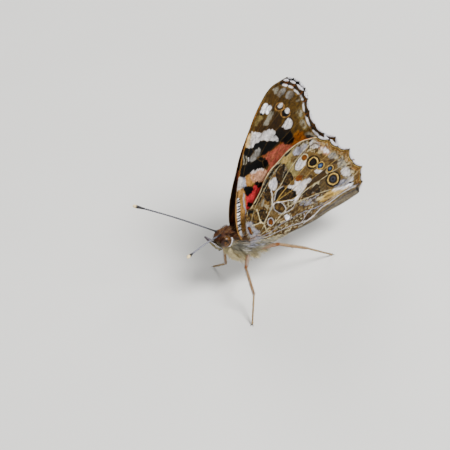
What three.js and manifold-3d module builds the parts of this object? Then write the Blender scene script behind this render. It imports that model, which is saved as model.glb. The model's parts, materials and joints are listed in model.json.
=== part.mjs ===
// Painted lady butterfly, life size, standing on four walking legs with its wings shut over its back.
// Millimetres. The insect is laid out in its own body frame first: x runs back from the head,
// y runs to the insect's right and z runs up. The stance then tips the whole body on its legs.
import * as THREE from 'three';
import { mergeVertices } from 'three/addons/utils/BufferGeometryUtils.js';
import Module from 'manifold-3d';

const wasm = await Module();
wasm.setup();

// Stance
const PITCH_DEG = 12;
const ROLL_DEG = -6.5;
const BODY_HEIGHT = 9.87;
const SHIFT_X = -4.675;
const SHIFT_Y = -0.219;

// Gaps and thicknesses
const SEAM = 0.28;
const WING_THICKNESS = 0.5;
const VEIN_RISE = 0.12;
const VEIN_HALF_WIDTH = 0.24;
const SCALLOP_DEPTH = 0.34;

// Mesh pitch on the wings
const MARGIN_STEP = 0.9;
const VEIN_STEP = 1.1;
const FILL_STEP = 2.5;

// Limbs and feelers
const ANTENNA_RADIUS = 0.26;
const CLUB_RADIUS = 0.5;
const FEMUR_RADIUS = 0.42;
const FORELEG_RADIUS = 0.34;
const TIBIA_RADIUS = 0.33;
const TARSUS_RADIUS = 0.28;
const FOOT_HALF_LENGTH = 0.62;

// Locks of hair on the thorax
const LOCK_ROWS = 7;
const LOCKS_PER_ROW = 13;
const LOCK_SPANS = 3;
const LOCK_HALF_WIDTH = 0.36;
const LOCK_HALF_THICK = 0.26;
const LOCK_ROOT_DEPTH = 0.5;
const LOCK_STAND = 0.24;

// Colours read off the photograph
const WING_BROWN = 0x8a6c47;
const WING_ROSE = 0xa4634c;
const FUR_RED_BROWN = 0x7a4a33;
const FUR_CREAM = 0xc9bba2;
const EYE_BROWN = 0x6b4630;
const LEG_TAN = 0xc9a27a;
const FEELER_DARK = 0x3d3444;

function vec(x, y, z) {
  return new THREE.Vector3(x, y, z);
}

function bodyPose() {
  const pose = new THREE.Matrix4().makeTranslation(SHIFT_X, SHIFT_Y, BODY_HEIGHT);
  pose.multiply(new THREE.Matrix4().makeRotationX(THREE.MathUtils.degToRad(ROLL_DEG)));
  pose.multiply(new THREE.Matrix4().makeRotationY(THREE.MathUtils.degToRad(PITCH_DEG)));
  return pose;
}

const POSE = bodyPose();

// A point of the body frame that lies at a given height over the floor.
function overFloor(x, y, height) {
  const guess = vec(x, y, 0);
  for (let round = 0; round < 6; round += 1) {
    const placed = guess.clone().applyMatrix4(POSE);
    guess.z += (height - placed.z);
  }
  return guess;
}

function cleanGeometry(geometry) {
  geometry.deleteAttribute('normal');
  geometry.deleteAttribute('uv');
  const merged = mergeVertices(geometry, 1e-4);
  return merged;
}

function toManifold(geometry) {
  const merged = cleanGeometry(geometry.clone());
  const mesh = new wasm.Mesh({
    numProp: 3,
    vertProperties: new Float32Array(merged.attributes.position.array),
    triVerts: new Uint32Array(merged.index.array),
  });
  return new wasm.Manifold(mesh);
}

function fromManifold(solid) {
  const pieces = solid.decompose();
  pieces.sort((a, b) => b.volume() - a.volume());
  const mesh = pieces[0].getMesh();
  const geometry = new THREE.BufferGeometry();
  geometry.setAttribute('position', new THREE.BufferAttribute(new Float32Array(mesh.vertProperties), 3));
  geometry.setIndex(new THREE.BufferAttribute(new Uint32Array(mesh.triVerts), 1));
  return geometry;
}

// A closed skin over oval rings strung along a path. Each ring has a centre, a half width across,
// a half height and the direction in which it faces; the first and last rings are closed flat.
function loft(rings, around) {
  const positions = [];
  const index = [];
  rings.forEach((ring) => {
    for (let k = 0; k < around; k += 1) {
      const turn = (k / around) * Math.PI * 2;
      const side = ring.side.clone().multiplyScalar(Math.cos(turn) * ring.wide);
      const rise = ring.rise.clone().multiplyScalar(Math.sin(turn) * ring.high);
      const point = ring.at.clone().add(side).add(rise);
      positions.push(point.x, point.y, point.z);
    }
  });
  for (let r = 0; r + 1 < rings.length; r += 1) {
    for (let k = 0; k < around; k += 1) {
      const a = r * around + k;
      const b = r * around + ((k + 1) % around);
      const c = a + around;
      const d = b + around;
      index.push(a, b, d, a, d, c);
    }
  }
  const capAt = (ringNumber, outward) => {
    const centre = positions.length / 3;
    const at = rings[ringNumber].at;
    positions.push(at.x, at.y, at.z);
    for (let k = 0; k < around; k += 1) {
      const a = ringNumber * around + k;
      const b = ringNumber * around + ((k + 1) % around);
      if (outward) {
        index.push(centre, a, b);
      } else {
        index.push(centre, b, a);
      }
    }
  };
  capAt(0, false);
  capAt(rings.length - 1, true);
  const geometry = new THREE.BufferGeometry();
  geometry.setAttribute('position', new THREE.Float32BufferAttribute(positions, 3));
  geometry.setIndex(index);
  return geometry;
}

// Rings of a body part that runs back along x: [x, centre height, half height, half width].
function bodyLoft(stations, around) {
  const rings = stations.map(([x, z, high, wide]) => ({
    at: vec(x, 0, z),
    side: vec(0, 1, 0),
    rise: vec(0, 0, 1),
    wide,
    high,
  }));
  return loft(rings, around);
}

// A round limb along a smooth path; the radius is a function of the way along, 0 to 1.
function limb(points, radiusAt, steps, around) {
  const curve = new THREE.CatmullRomCurve3(points, false, 'centripetal');
  const rings = [];
  let side = null;
  for (let s = 0; s <= steps; s += 1) {
    const t = s / steps;
    const along = curve.getTangentAt(t);
    if (side === null) {
      const guide = Math.abs(along.z) < 0.9 ? vec(0, 0, 1) : vec(0, 1, 0);
      side = guide.clone().cross(along).normalize();
    }
    side = side.clone().sub(along.clone().multiplyScalar(side.dot(along))).normalize();
    const rise = along.clone().cross(side).normalize();
    const radius = radiusAt(t);
    rings.push({ at: curve.getPointAt(t), side, rise, wide: radius, high: radius });
  }
  return loft(rings, around);
}

function smooth(low, high, value) {
  return THREE.MathUtils.smoothstep(value, low, high);
}

// Wing surfaces. A point of a wing is (x, z) in the body's middle plane; the wing stands off that
// plane by the distance these functions give. The forewing's front edge leans in to its twin.
function forewingStandOff(x, z) {
  return 1.75 - 0.05 * (z - 2.5) + 0.055 * (x + 2);
}

// The hindwing lies outside the forewing, comes in to its root and closes on its twin behind.
function hindwingStandOff(x, z) {
  const back = (x - z) / Math.SQRT2;
  const closing = 0.18 * Math.log1p(Math.exp(1.2 * back)) / 1.2;
  const rootDistance = Math.hypot(x - 1.2, z - 1.3);
  const root = 1.05 * Math.exp(-((rootDistance / 2) ** 2));
  return Math.max(3.1 - closing - root, 0.45);
}

// Forewing outline, (x, z): the arched front edge, the vein ends of the wavy outer edge, the rear edge.
const FOREWING = {
  front: [
    [-1.6, 2.0], [-2.25, 3.4], [-2.65, 5.7], [-2.7, 8.1], [-2.45, 11.4], [-1.95, 14.5],
    [-1.4, 17.8], [-0.55, 20.9], [0.55, 24.1], [1.65, 26.6], [2.75, 28.6], [3.85, 30.2],
    [5.0, 31.25], [6.9, 32.05],
  ],
  tips: [
    [6.9, 32.05], [8.3, 31.6], [9.6, 30.75], [11.1, 29.1], [11.8, 27.4],
    [12.15, 24.9], [13.25, 22.1], [15.1, 19.9], [15.8, 18.0], [14.4, 16.0],
  ],
  rear: [[14.4, 16.0], [9.0, 11.2], [4.0, 6.8], [0.7, 3.5], [-0.6, 2.15], [-1.6, 2.0]],
  veins: [
    [[-1.5, 2.8], [-1.9, 6.0], [-1.7, 10.0], [-1.2, 14.0], [-0.4, 18.0], [0.5, 20.8], [1.4, 24.4], [2.8, 27.4]],
    [[0.5, 20.8], [2.2, 23.7], [4.2, 26.4], [5.8, 29.0], [8.1, 31.2]],
    [[2.2, 21.9], [5.0, 25.3], [6.5, 27.8], [9.3, 30.3]],
    [[0.5, 20.8], [2.2, 21.9], [5.4, 25.1], [7.0, 26.6], [9.0, 27.9], [10.8, 28.8]],
    [[0.5, 20.8], [1.3, 18.9], [1.7, 17.8], [4.0, 21.0], [6.5, 23.6], [8.4, 25.1], [11.4, 27.2]],
    [[1.7, 17.8], [2.7, 17.1], [4.1, 18.6], [6.4, 20.4], [8.4, 22.1], [10.1, 23.4], [11.9, 24.8]],
    [[2.7, 17.1], [3.2, 15.6], [4.9, 17.3], [6.8, 19.0], [9.1, 20.7], [10.9, 21.6], [12.9, 22.1]],
    [[3.2, 15.6], [2.3, 13.4], [4.9, 15.6], [6.8, 17.0], [9.6, 18.8], [11.8, 19.6], [14.7, 19.9]],
    [[2.3, 13.4], [1.2, 10.6], [4.5, 12.8], [8.5, 15.4], [12.0, 17.2], [15.4, 18.1]],
    [[-1.0, 3.0], [0.0, 7.0], [1.2, 10.6]],
    [[-0.8, 2.7], [3.0, 6.8], [8.0, 11.3], [13.9, 16.0]],
  ],
};

// Hindwing outline, (x, z), in the same order; its lower edge lies along the abdomen.
const HINDWING = {
  front: [
    [-0.4, 1.7], [-1.15, 3.1], [-1.5, 5.1], [-1.55, 7.2], [-1.2, 8.6], [-0.4, 9.2], [0.4, 10.4],
    [1.4, 12.1], [2.2, 14.1], [3.45, 16.0], [4.8, 17.15], [6.45, 18.7], [7.8, 19.55], [9.7, 20.3],
    [12.9, 20.4],
  ],
  tips: [
    [12.9, 20.4], [15.5, 19.3], [17.35, 17.25], [20.15, 15.9], [21.1, 13.0], [23.7, 10.8],
    [23.7, 8.9], [24.25, 7.1], [23.7, 5.0],
  ],
  rear: [
    [23.7, 5.0], [21.9, 4.35], [19.5, 3.65], [17.1, 3.15], [15.6, 2.65], [13.1, 1.95], [10.2, 1.5],
    [7.7, 1.3], [4.5, 1.15], [2.5, 0.7], [0.9, 0.5], [0.0, 0.95], [-0.4, 1.7],
  ],
  veins: [
    [[0.3, 2.4], [-0.4, 5.5], [0.3, 8.8], [1.8, 11.7], [2.9, 13.3], [4.3, 15.4], [6.0, 17.2], [7.9, 19.1], [9.5, 20.0]],
    [[1.2, 2.2], [2.2, 4.6], [3.0, 6.7], [3.9, 8.2], [3.8, 10.3], [5.5, 12.3], [6.9, 14.6], [8.7, 16.8], [10.6, 18.7], [12.6, 20.0]],
    [[3.9, 8.2], [4.7, 9.2], [5.8, 10.6], [7.5, 12.2], [9.3, 13.8], [10.7, 15.2], [12.7, 17.1], [15.2, 19.0]],
    [[4.7, 9.2], [6.4, 10.0], [7.8, 10.6], [9.0, 11.4], [12.0, 13.8], [13.8, 15.4], [17.0, 17.0]],
    [[4.7, 9.2], [7.1, 8.8], [8.6, 9.0], [9.5, 9.8], [11.5, 11.6], [13.7, 12.8], [17.2, 14.5], [19.8, 15.6]],
    [[7.1, 8.8], [7.4, 7.3], [8.6, 7.9], [10.8, 9.8], [12.9, 10.7], [15.5, 11.6], [18.1, 12.5], [20.8, 12.95]],
    [[1.6, 2.2], [2.9, 3.5], [4.8, 5.0], [7.4, 7.3], [10.6, 7.9], [14.6, 8.1], [19.0, 8.0], [21.0, 8.8], [23.3, 10.5]],
    [[2.0, 1.9], [3.8, 2.9], [5.9, 4.0], [8.1, 4.5], [10.5, 4.9], [14.5, 5.0], [16.2, 5.4], [18.7, 6.4], [20.7, 6.9], [23.7, 7.0]],
    [[2.6, 1.6], [4.5, 2.3], [7.6, 2.7], [10.8, 2.6], [13.1, 2.75], [15.5, 3.3], [19.0, 4.6]],
  ],
};

function resample(points, step, closed) {
  const flat = points.map(([x, z]) => vec(x, 0, z));
  const curve = new THREE.CatmullRomCurve3(flat, closed, 'centripetal');
  const count = Math.max(2, Math.round(curve.getLength() / step));
  return curve.getSpacedPoints(count).map((point) => [point.x, point.z]);
}

// The outer edge dips in between the vein ends.
function scallops(tips, step) {
  const edge = [];
  for (let i = 0; i + 1 < tips.length; i += 1) {
    const [ax, az] = tips[i];
    const [bx, bz] = tips[i + 1];
    const length = Math.hypot(bx - ax, bz - az);
    const count = Math.max(2, Math.round(length / step));
    const inward = [(bz - az) / length, -(bx - ax) / length];
    for (let k = 0; k < count; k += 1) {
      const t = k / count;
      const dip = SCALLOP_DEPTH * Math.min(1, length / 2.4) * Math.sin(Math.PI * t);
      edge.push([ax + (bx - ax) * t + inward[0] * dip, az + (bz - az) * t + inward[1] * dip]);
    }
  }
  return edge;
}

function outlineOf(wing) {
  const front = resample(wing.front, MARGIN_STEP, false).slice(0, -1);
  const outer = scallops(wing.tips, MARGIN_STEP);
  const rear = resample(wing.rear, MARGIN_STEP, false).slice(0, -1);
  return front.concat(outer, rear);
}

function insideOutline(x, z, outline) {
  let inside = false;
  for (let i = 0, j = outline.length - 1; i < outline.length; j = i, i += 1) {
    const [xi, zi] = outline[i];
    const [xj, zj] = outline[j];
    if ((zi > z) !== (zj > z) && x < ((xj - xi) * (z - zi)) / (zj - zi) + xi) {
      inside = !inside;
    }
  }
  return inside;
}

function nearestGap(x, z, points) {
  let best = Infinity;
  points.forEach((point) => {
    best = Math.min(best, Math.hypot(point.x - x, point.z - z));
  });
  return best;
}

// Points of the wing sheet: the edge, the vein crests, the feet of the ridges and a loose fill.
function wingPoints(wing) {
  const outline = outlineOf(wing);
  const points = outline.map(([x, z]) => ({ x, z, rise: 0 }));
  const crests = [];
  const feet = [];
  wing.veins.forEach((vein) => {
    const line = resample(vein, VEIN_STEP, false);
    line.forEach(([x, z], i) => {
      const [px, pz] = line[Math.max(0, i - 1)];
      const [qx, qz] = line[Math.min(line.length - 1, i + 1)];
      const length = Math.hypot(qx - px, qz - pz);
      const across = [-(qz - pz) / length, (qx - px) / length];
      crests.push({ x, z, rise: VEIN_RISE });
      [-1, 1].forEach((way) => {
        feet.push({
          x: x + across[0] * way * VEIN_HALF_WIDTH,
          z: z + across[1] * way * VEIN_HALF_WIDTH,
          rise: 0,
        });
      });
    });
  });
  const keep = (candidates, clearance, edgeClearance) => {
    candidates.forEach((point) => {
      const edgeGap = nearestGap(point.x, point.z, points.slice(0, outline.length));
      if (insideOutline(point.x, point.z, outline) && edgeGap > edgeClearance) {
        if (nearestGap(point.x, point.z, points) > clearance) {
          points.push(point);
        }
      }
    });
  };
  keep(crests, 0.32, 0.32);
  keep(feet, 0.2, 0.3);
  const fill = [];
  for (let row = 0; row < 24; row += 1) {
    for (let column = 0; column < 20; column += 1) {
      fill.push({
        x: -4 + (column + (row % 2) / 2) * FILL_STEP,
        z: row * FILL_STEP * 0.87,
        rise: 0,
      });
    }
  }
  keep(fill, 0.8, 0.7);
  return { points, outline };
}

// Delaunay triangles over the points, by inserting them one at a time.
function triangulate(points) {
  const span = 1000;
  const all = points.map((point, i) => [
    point.x + 1e-6 * Math.sin(i * 12.9),
    point.z + 1e-6 * Math.cos(i * 78.2),
  ]);
  const first = all.length;
  all.push([-span, -span], [span, -span], [0, span]);
  let triangles = [[first, first + 1, first + 2]];
  const inCircle = (triangle, x, z) => {
    const [a, b, c] = triangle.map((i) => [all[i][0] - x, all[i][1] - z]);
    const sq = (p) => p[0] * p[0] + p[1] * p[1];
    const det = sq(a) * (b[0] * c[1] - c[0] * b[1])
      - sq(b) * (a[0] * c[1] - c[0] * a[1])
      + sq(c) * (a[0] * b[1] - b[0] * a[1]);
    return det > 0;
  };
  for (let i = 0; i < first; i += 1) {
    const [x, z] = all[i];
    const edges = new Map();
    const kept = [];
    triangles.forEach((triangle) => {
      if (!inCircle(triangle, x, z)) {
        kept.push(triangle);
        return;
      }
      [[0, 1], [1, 2], [2, 0]].forEach(([m, n]) => {
        const back = `${triangle[n]},${triangle[m]}`;
        if (edges.has(back)) {
          edges.delete(back);
        } else {
          edges.set(`${triangle[m]},${triangle[n]}`, [triangle[m], triangle[n]]);
        }
      });
    });
    edges.forEach(([m, n]) => kept.push([m, n, i]));
    triangles = kept;
  }
  return triangles.filter((triangle) => triangle.every((i) => i < first));
}

// A wing as one closed sheet: the same triangles on both faces and a rim round the edge.
// `swing` turns the wing back about its hinge, `side` is -1 for the insect's left and 1 for its right.
function wingSolid(wing, standOff, hinge, swingDeg, side) {
  const { points, outline } = wingPoints(wing);
  const triangles = triangulate(points).filter(([a, b, c]) => {
    const x = (points[a].x + points[b].x + points[c].x) / 3;
    const z = (points[a].z + points[b].z + points[c].z) / 3;
    return insideOutline(x, z, outline);
  });
  const swing = THREE.MathUtils.degToRad(swingDeg);
  const place = (x, z, off) => {
    const dx = x - hinge[0];
    const dz = z - hinge[1];
    return [
      hinge[0] + dx * Math.cos(swing) + dz * Math.sin(swing),
      side * off,
      hinge[1] - dx * Math.sin(swing) + dz * Math.cos(swing),
    ];
  };
  const positions = [];
  [1, -1].forEach((face) => {
    points.forEach(({ x, z, rise }) => {
      const middle = standOff(x, z);
      const slopeX = (standOff(x + 0.05, z) - standOff(x - 0.05, z)) / 0.1;
      const slopeZ = (standOff(x, z + 0.05) - standOff(x, z - 0.05)) / 0.1;
      const scale = 1 / Math.hypot(1, slopeX, slopeZ);
      const half = face * (WING_THICKNESS / 2 + rise);
      positions.push(...place(x - slopeX * scale * half, z - slopeZ * scale * half, middle + scale * half));
    });
  });
  const count = points.length;
  const index = [];
  const rim = new Map();
  const add = (a, b, c) => {
    if (side < 0) {
      index.push(a, b, c);
    } else {
      index.push(a, c, b);
    }
  };
  triangles.forEach(([a, b, c]) => {
    add(a, b, c);
    add(a + count, c + count, b + count);
    [[a, b], [b, c], [c, a]].forEach(([m, n]) => {
      const back = `${n},${m}`;
      if (rim.has(back)) {
        rim.delete(back);
      } else {
        rim.set(`${m},${n}`, [m, n]);
      }
    });
  });
  rim.forEach(([m, n]) => {
    add(m, m + count, n + count);
    add(m, n + count, n);
  });
  const geometry = new THREE.BufferGeometry();
  geometry.setAttribute('position', new THREE.Float32BufferAttribute(positions, 3));
  geometry.setIndex(index);
  return cleanGeometry(geometry);
}

function ball(centre, radii, across, down) {
  const geometry = new THREE.SphereGeometry(1, across, down);
  geometry.scale(radii.x, radii.y, radii.z);
  geometry.translate(centre.x, centre.y, centre.z);
  return geometry;
}

// Thorax, abdomen and head
const THORAX = [
  [-3.35, 1.45, 1.15, 0.85], [-2.95, 1.2, 1.7, 1.15], [-2.35, 0.95, 2.3, 1.35], [-1.6, 0.75, 2.75, 1.5],
  [-0.6, 0.6, 3.0, 1.57], [0.5, 0.5, 3.05, 1.6], [1.5, 0.35, 2.85, 1.55], [2.5, 0.3, 2.4, 1.42],
  [3.2, 0.35, 1.8, 1.25], [3.7, 0.45, 1.1, 0.95],
];
const ABDOMEN = [
  [3.98, 0.5, 0.95, 0.9], [4.3, 0.5, 1.35, 1.2], [5.4, 0.6, 1.7, 1.42], [7.2, 0.85, 1.75, 1.4],
  [9.2, 1.25, 1.55, 1.2], [11.0, 1.75, 1.2, 0.95], [12.6, 2.25, 0.85, 0.68], [13.7, 2.6, 0.5, 0.4],
  [14.1, 2.72, 0.22, 0.2],
];
const HEAD_CENTRE = vec(-4.5, 0, 2.3);
const HEAD_RADII = vec(1.55, 1.45, 1.65);
const EYE_CENTRE = vec(-4.62, 1.22, 2.3);
const EYE_RADII = vec(1.08, 0.88, 1.15);

function headSolid() {
  let head = toManifold(ball(HEAD_CENTRE, HEAD_RADII, 20, 14));
  [-1, 1].forEach((side) => {
    const centre = vec(EYE_CENTRE.x, side * EYE_CENTRE.y, EYE_CENTRE.z);
    const radii = EYE_RADII.clone().addScalar(SEAM);
    head = head.subtract(toManifold(ball(centre, radii, 20, 14)));
  });
  return fromManifold(head);
}

function eyeSolid(side) {
  return ball(vec(EYE_CENTRE.x, side * EYE_CENTRE.y, EYE_CENTRE.z), EYE_RADII, 18, 12);
}

// Each palp rises in front of the face and ends in a point.
function palpSolid(side) {
  const path = [
    vec(-5.72, side * 0.5, 1.05),
    vec(-6.5, side * 0.52, 1.3),
    vec(-7.2, side * 0.5, 2.2),
    vec(-7.85, side * 0.46, 3.35),
  ];
  const radius = (t) => 0.3 + 0.14 * Math.sin(Math.PI * Math.min(1, t * 1.5)) - 0.24 * smooth(0.6, 1, t);
  return limb(path, radius, 10, 10);
}

// The tongue is rolled up below the palps.
function tongueSolid() {
  const path = [];
  for (let k = 0; k <= 14; k += 1) {
    const turn = (k / 14) * Math.PI * 1.55;
    const radius = 0.72 - 0.1 * (k / 14);
    path.push(vec(-5.35 - Math.cos(turn) * radius, 0, -0.35 + Math.sin(turn) * radius));
  }
  return limb(path, (t) => 0.27 - 0.04 * t, 14, 8);
}

// A feeler: a thin rod that thickens over its last eighth into a club.
const ANTENNA_TIPS = { left: vec(-17.0, -11.2, 7.9), right: vec(-17.9, 9.7, 7.6) };

function antennaSolid(side) {
  const root = vec(-5.4, side * 0.66, 3.72);
  const tip = side < 0 ? ANTENNA_TIPS.left : ANTENNA_TIPS.right;
  const along = tip.clone().sub(root);
  const middle = root.clone().addScaledVector(along, 0.5).add(vec(0, 0, 0.25));
  const radius = (t) => {
    const club = smooth(0.84, 0.95, t) * (CLUB_RADIUS - ANTENNA_RADIUS);
    const end = smooth(0.965, 1, t) * 0.24;
    return ANTENNA_RADIUS + club - end;
  };
  return limb([root, middle, tip], radius, 20, 8);
}

// Legs: knees and ankles in the body frame, feet given by their place over the floor.
const LEGS = {
  mid_left: {
    hip: vec(0.4, -0.9, -1.75), knee: vec(-2.5, -5.3, -1.8), ankle: vec(-1.7, -7.0, -6.74), foot: [-3.04, -9.0],
  },
  mid_right: {
    hip: vec(0.4, 0.9, -1.75), knee: vec(-2.0, 4.6, -1.5), ankle: vec(-1.6, 4.5, -6.6), foot: [-2.1, 8.5],
  },
  hind_left: {
    hip: vec(2.0, -0.9, -1.3), knee: vec(5.25, -3.4, 0.1), ankle: vec(11.4, -3.2, -2.6), foot: [17.5, -2.0],
  },
  hind_right: {
    hip: vec(2.0, 0.9, -1.3), knee: vec(5.5, 4.5, 0.3), ankle: vec(10.5, 7.5, -2.8), foot: [14.0, 9.5],
  },
};

function rod(from, to, radius, startGap, endGap, taper) {
  const along = to.clone().sub(from).normalize();
  const start = from.clone().addScaledVector(along, startGap);
  const end = to.clone().addScaledVector(along, -endGap);
  const shape = (t) => {
    const round = Math.sqrt(Math.max(0.16, 1 - Math.max(0, 1 - t * 9) ** 2));
    const roundEnd = Math.sqrt(Math.max(0.16, 1 - Math.max(0, 1 - (1 - t) * 9) ** 2));
    return radius * (1 - taper * t) * Math.min(round, roundEnd);
  };
  return limb([start, start.clone().lerp(end, 0.5), end], shape, 10, 10);
}

function femurSolid(leg, extra) {
  return rod(leg.hip, leg.knee, FEMUR_RADIUS + extra, -extra, -extra, 0.2);
}

// The last leg part ends in a small pad with a flat sole on the floor.
function tarsusSolid(leg) {
  const heel = overFloor(leg.foot[0], leg.foot[1], 0.3);
  const shank = toManifold(rod(leg.ankle, heel, TARSUS_RADIUS, SEAM, -0.02, 0));
  const placed = shank.transform(POSE.elements.slice());
  const forward = heel.clone().sub(leg.ankle).applyMatrix4(new THREE.Matrix4().extractRotation(POSE));
  const turn = Math.atan2(forward.y, forward.x);
  const pad = new THREE.SphereGeometry(1, 14, 8);
  pad.scale(FOOT_HALF_LENGTH, 0.38, 0.4);
  pad.rotateZ(turn);
  const spot = heel.clone().applyMatrix4(POSE);
  pad.translate(spot.x, spot.y, 0.24);
  const floor = new THREE.BoxGeometry(60, 60, 10);
  floor.translate(spot.x, spot.y, -5);
  const solid = placed.add(toManifold(pad)).subtract(toManifold(floor));
  return fromManifold(solid);
}

// The brush legs are small and folded up under the chest.
function forelegPath(side) {
  return [vec(-3.35, side * 0.7, -0.1), vec(-3.3, side * 0.85, -1.1), vec(-2.2, side * 0.9, -2.2)];
}

function forelegSolid(side, extra) {
  return limb(forelegPath(side), (t) => FORELEG_RADIUS + extra - 0.1 * t, 8, 10);
}

// Point, outward direction and backward direction on the thorax at x and an angle from its right side.
function thoraxSurface(x, angleDeg) {
  const at = (place) => {
    let k = 0;
    while (k + 2 < THORAX.length && THORAX[k + 1][0] < place) {
      k += 1;
    }
    const t = (place - THORAX[k][0]) / (THORAX[k + 1][0] - THORAX[k][0]);
    const [centre, high, wide] = [1, 2, 3].map((n) => THREE.MathUtils.lerp(THORAX[k][n], THORAX[k + 1][n], t));
    const angle = THREE.MathUtils.degToRad(angleDeg);
    return vec(place, wide * Math.cos(angle), centre + high * Math.sin(angle));
  };
  const point = at(x);
  const back = at(x + 0.2).sub(at(x - 0.2)).normalize();
  const centre = at(x);
  centre.y = 0;
  centre.z = thoraxCentre(x);
  const out = point.clone().sub(centre);
  out.addScaledVector(back, -out.dot(back)).normalize();
  return { point, back, out };
}

function thoraxCentre(x) {
  let k = 0;
  while (k + 2 < THORAX.length && THORAX[k + 1][0] < x) {
    k += 1;
  }
  const t = (x - THORAX[k][0]) / (THORAX[k + 1][0] - THORAX[k][0]);
  return THREE.MathUtils.lerp(THORAX[k][1], THORAX[k + 1][1], t);
}

// Repeatable variation between -1 and 1.
function vary(number) {
  const wave = Math.sin(number * 127.1 + 11.7) * 43758.5453;
  return (wave - Math.floor(wave)) * 2 - 1;
}

// The way one lock of hair runs: it leaves the skin, bends back along the body and hangs a little.
function lockPath(lock) {
  const { point, back, out } = thoraxSurface(lock.x, lock.angle);
  const path = [];
  for (let k = 0; k <= LOCK_SPANS; k += 1) {
    const t = k / LOCK_SPANS;
    const lift = -LOCK_ROOT_DEPTH + (LOCK_ROOT_DEPTH + LOCK_STAND) * Math.sin(Math.min(1, t * 1.3) * Math.PI * 0.5);
    const spot = point.clone();
    spot.addScaledVector(back, lock.length * t);
    spot.addScaledVector(out, lift + lock.flare * t * t);
    spot.z -= lock.hang * t * t;
    path.push(spot);
  }
  return { path, out };
}

// A flat tapered lock of four-sided section, closed at its sunk root and drawn out to a point.
function lockSolid(lock) {
  const { path, out } = lockPath(lock);
  const rings = path.slice(0, -1).map((at, k) => {
    const along = path[k + 1].clone().sub(path[Math.max(0, k - 1)]).normalize();
    const side = along.clone().cross(out).normalize();
    const rise = side.clone().cross(along).normalize();
    const taper = 1 - 0.55 * (k / LOCK_SPANS) ** 2;
    return { at, side, rise, wide: LOCK_HALF_WIDTH * taper, high: LOCK_HALF_THICK * taper };
  });
  const tip = path[LOCK_SPANS];
  const last = rings[rings.length - 1];
  rings.push({ at: tip, side: last.side, rise: last.rise, wide: 0.05, high: 0.04 });
  return toManifold(loft(rings, 4));
}

function gapToSegment(point, from, to) {
  const closest = new THREE.Line3(from, to).closestPointToPoint(point, true, vec(0, 0, 0));
  return closest.distanceTo(point);
}

// A lock is kept where it stays clear of the legs, the head, the abdomen and the wings.
function lockIsClear(lock) {
  const room = LOCK_HALF_WIDTH + SEAM;
  const { path } = lockPath(lock);
  const { path: finer } = { path: path.flatMap((at, k) => (k === 0 ? [at] : [path[k - 1].clone().lerp(at, 0.5), at])) };
  const [rearX, rearZ, rearHigh, rearWide] = ABDOMEN[0];
  return finer.every((point) => {
    const legsClear = Object.values(LEGS).every(
      (leg) => gapToSegment(point, leg.hip, leg.knee) > FEMUR_RADIUS + room,
    );
    const brushClear = [-1, 1].every((side) => {
      const [a, b, c] = forelegPath(side);
      const gap = Math.min(gapToSegment(point, a, b), gapToSegment(point, b, c));
      return gap > FORELEG_RADIUS + room;
    });
    const offHead = point.clone().sub(HEAD_CENTRE).length() > HEAD_RADII.z + room;
    const offRear = point.x < rearX - room
      || Math.hypot(point.y / (rearWide + 0.6 + room), (point.z - rearZ) / (rearHigh + 0.9 + room)) > 1;
    const wingFoot = WING_THICKNESS / 2 + room;
    const underForewing = point.z < 1.7 || Math.abs(point.y) < forewingStandOff(point.x, point.z) - wingFoot;
    const underHindwing = point.x < -1.9 || point.z < 0.2
      || Math.abs(point.y) < hindwingStandOff(point.x, point.z) - wingFoot;
    return legsClear && brushClear && offHead && offRear && underForewing && underHindwing;
  });
}

// Rows of locks round the chest: a short ruff behind the head, longer ones below and behind.
function coatLocks() {
  const locks = [];
  for (let row = 0; row < LOCK_ROWS; row += 1) {
    const x = -2.7 + row * 0.74;
    for (let k = 0; k < LOCKS_PER_ROW; k += 1) {
      const spread = k + (row % 2) * 0.5 + 0.18 * vary(row * 31 + k);
      const angle = -90 + (spread / LOCKS_PER_ROW) * 360;
      const below = smooth(0.25, -0.55, Math.sin(THREE.MathUtils.degToRad(angle)));
      const length = 1.15 + 0.75 * below + 0.12 * row * below + 0.2 * vary(row * 17 + k * 5);
      const lock = { x: x + 0.12 * vary(row * 7 + k * 3), angle, length, flare: 0.1 + 0.25 * below, hang: 0.15 * below };
      if (lockIsClear(lock)) {
        locks.push(lock);
      }
    }
  }
  return locks;
}

// The thorax is hollowed by a seam's width where the head, the femurs and the brush legs meet it.
function thoraxSolid() {
  let thorax = toManifold(bodyLoft(THORAX, 24));
  coatLocks().forEach((lock) => {
    thorax = thorax.add(lockSolid(lock));
  });
  const headRadii = HEAD_RADII.clone().addScalar(SEAM);
  thorax = thorax.subtract(toManifold(ball(HEAD_CENTRE, headRadii, 20, 14)));
  [-1, 1].forEach((side) => {
    thorax = thorax.subtract(toManifold(forelegSolid(side, SEAM)));
  });
  Object.values(LEGS).forEach((leg) => {
    thorax = thorax.subtract(toManifold(femurSolid(leg, SEAM)));
  });
  return fromManifold(thorax.asOriginal().simplify(0.03));
}

const butterfly = new THREE.Group();
butterfly.name = 'painted_lady_butterfly';

function addPart(name, geometry, colour, roughness, posed) {
  const ready = geometry.index && !geometry.attributes.uv ? geometry : cleanGeometry(geometry);
  if (!posed) {
    ready.applyMatrix4(POSE);
  }
  ready.computeVertexNormals();
  const material = new THREE.MeshStandardMaterial({ color: colour, roughness, metalness: 0 });
  const mesh = new THREE.Mesh(ready, material);
  mesh.name = name;
  butterfly.add(mesh);
}

addPart('thorax', thoraxSolid(), FUR_RED_BROWN, 0.9);
addPart('abdomen', bodyLoft(ABDOMEN, 20), FUR_CREAM, 0.9);
addPart('head', headSolid(), FUR_RED_BROWN, 0.9);
addPart('proboscis', tongueSolid(), FEELER_DARK, 0.5);

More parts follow.
